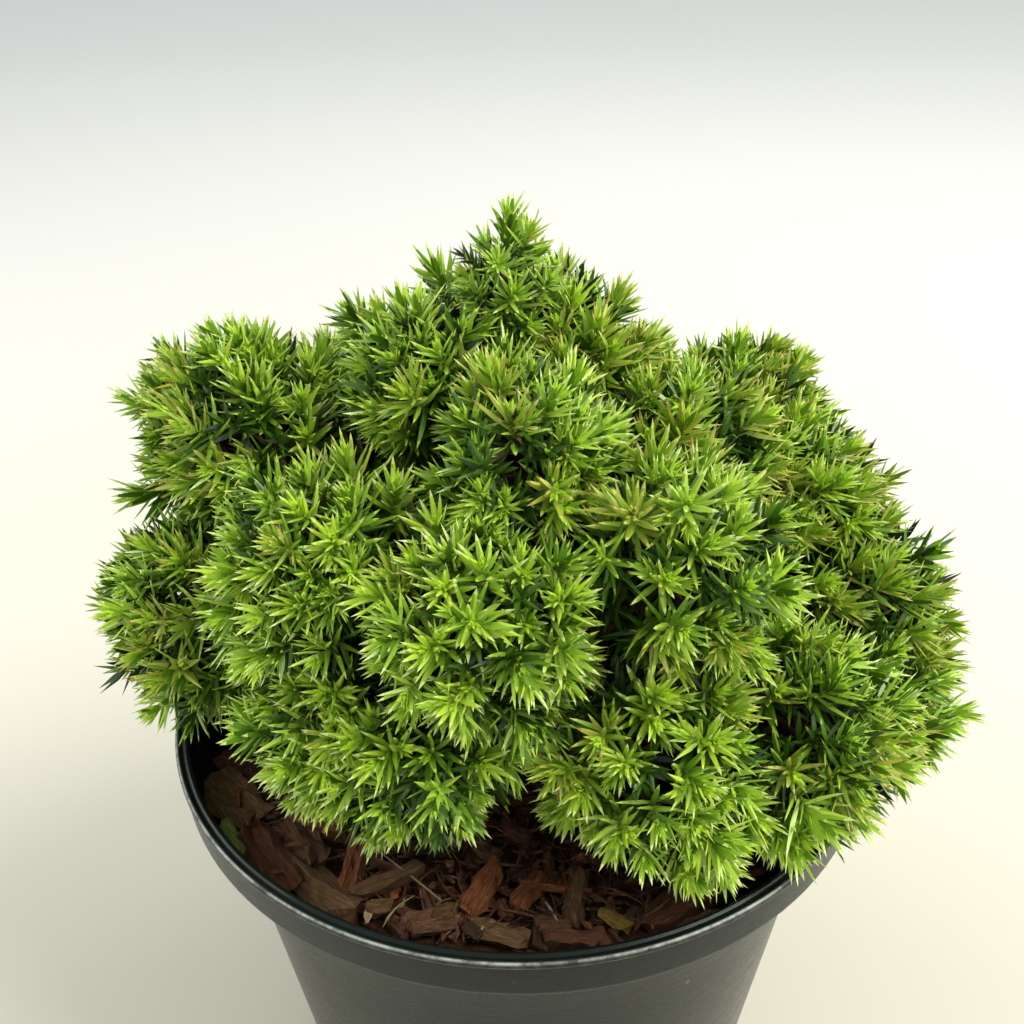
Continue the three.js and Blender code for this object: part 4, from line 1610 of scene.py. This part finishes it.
def crumb_arrays(random):
    """Small broken bits of bark, each an uneven octahedron."""
    count = CRUMBS["count"]
    at = np.array([spot_on_bed(random, CRUMBS["clear_of_edge"]) for _ in range(count)])
    size = random.uniform(*CRUMBS["size"], count)
    shape = OCTAHEDRON[None] * random.uniform(*CRUMBS["corner_reach"], (count, 6, 1))
    shape = shape + random.normal(0, CRUMBS["roughness"], shape.shape)
    turn = random.uniform(0, math.pi, count)
    stretch = np.ones((count, 3))
    stretch[:, 0] = random.uniform(*CRUMBS["stretch"], count)
    shape = shape * (stretch * size[:, None])[:, None]
    c, s = np.cos(turn)[:, None], np.sin(turn)[:, None]
    x = shape[:, :, 0] * c - shape[:, :, 1] * s
    y = shape[:, :, 0] * s + shape[:, :, 1] * c
    height = random.uniform(*CRUMBS["height"], count)
    places = np.stack([x + at[:, :1], y + at[:, 1:], shape[:, :, 2] + height[:, None]], axis=2)
    triangles = repeated(OCTAHEDRON_TRIANGLES, count, 6)
    numbers = np.repeat(random.choice(len(CHIP_NAMES), count, p=CHIP_SHARES), 8)
    grain = shape[:, :, :2] / GRAIN_LENGTH + random.uniform(0, GRAIN_SHIFT, (count, 1, 2))
    return places.reshape(-1, 3), triangles, numbers, grain.reshape(-1, 2)


def fibre_arrays(random):
    """Shreds of inner bark, and the dry stalk."""
    rings = len(FIBRES["profile"])
    share = np.linspace(0, 1, rings)
    paths = [bezier(STALK["curve"], share)]
    radii = [STALK["radius"] * np.array(STALK["profile"])]
    colours = [CHIP_NAMES.index("chip_pale")]
    while len(paths) < FIBRES["count"]:
        x, y = spot_on_bed(random, FIBRES["clear_of_edge"])
        length = mix(*FIBRES["length"], random.random() ** FIBRES["short_ones"])
        heading = random.uniform(0, 2 * math.pi)
        c, s = math.cos(heading), math.sin(heading)
        bow = random.normal(0, FIBRES["bow"]) * length
        aim = np.array((c, s, random.normal(0, FIBRES["slope"])))
        side = np.array((-s, c, random.normal(0, FIBRES["twist"])))
        start = np.array((x, y, random.uniform(*FIBRES["height"]))) - aim * length / 2
        path = bezier([start, start + aim * length / 2 + side * bow, start + aim * length], share)
        if meets_wall(path, FIBRES["clear_of_wall"]):
            continue
        paths.append(path)
        radii.append(random.uniform(*FIBRES["radius"]) * np.array(FIBRES["profile"]))
        colours.append(random.choice(len(CHIP_NAMES), p=FIBRE_SHARES))
    places = tubes(np.array(paths), np.array(radii), 3).reshape(len(paths), -1, 3)
    template = tube_triangles(3, rings)
    triangles = repeated(template, len(places), places.shape[1])
    along = np.tile(np.repeat(share, 3), len(paths)) * 2
    across_fibre = np.repeat(np.arange(len(paths)) * 0.37, places.shape[1])
    grain = np.stack([along, across_fibre], axis=1)
    return places.reshape(-1, 3), triangles, np.repeat(colours, len(template)), grain


def make_mulch():
    random = np.random.default_rng(CHIPS["seed"])
    deselect()
    bpy.ops.mesh.primitive_circle_add(
        vertices=BED["sides"],
        radius=bed_radius() * MM,
        fill_type="NGON",
        location=(0, 0, BED_FOOT * MM),
    )
    bed = take("bark_bed_litter", grainy("bark_litter"))
    edit_all()
    rise = BED["thickness"] * MM
    bpy.ops.mesh.extrude_region_move(TRANSFORM_OT_translate={"value": (0, 0, rise)})
    for _ in range(BED["rings"]):
        bpy.ops.mesh.inset(thickness=bed_radius() * MM / (BED["rings"] + 1.5), depth=0)
    close_edit()
    settle(bed)
    top = bed.vertex_groups.new(name="top")
    high = (BED_FOOT + 0.5 * BED["thickness"]) * MM
    inner = (bed_radius() - BED["flat_border"]) * MM
    corners = bed.data.vertices
    raised = [v.index for v in corners if v.co.z > high and v.co.xy.length < inner]
    top.add(raised, 1.0, "REPLACE")
    lumps = bpy.data.textures.new("bed_lumps", "CLOUDS")
    lumps.noise_scale = BED["lump_size"] * MM
    lumps.noise_depth = 3
    uneven = bed.modifiers.new("uneven", "DISPLACE")
    uneven.texture = lumps
    uneven.texture_coords = "LOCAL"
    uneven.vertex_group = "top"
    uneven.direction = "Z"
    uneven.strength = 2 * BED["unevenness"] * MM
    uneven.mid_level = BED["mid_level"]
    apply_modifiers(bed)
    bpy.ops.object.shade_smooth_by_angle(angle=math.radians(BED["smooth_angle"]))
    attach(bed, "root")
    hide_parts("bark_bed")

    chip_finishes = [bark_chip(name, *codes) for name, codes in CHIP_COLOURS.items()]
    makers = {"bark_chips": chip_arrays, "bark_crumbs": crumb_arrays, "bark_fibres": fibre_arrays}
    for name, arrays in makers.items():
        *mesh_arrays, grain = arrays(random)
        piece = joined_mesh(name, *mesh_arrays, chip_finishes, grain=grain)


def dress_soil():
    soil = frame["nodes"]["soil"]
    for place in soil.material_slots:
        place.material = grainy("potting_soil")


place_camera()
light_the_studio()
lay_floor()
make_pot()
dress_soil()
make_mulch()
make_limbs()
make_foliage()
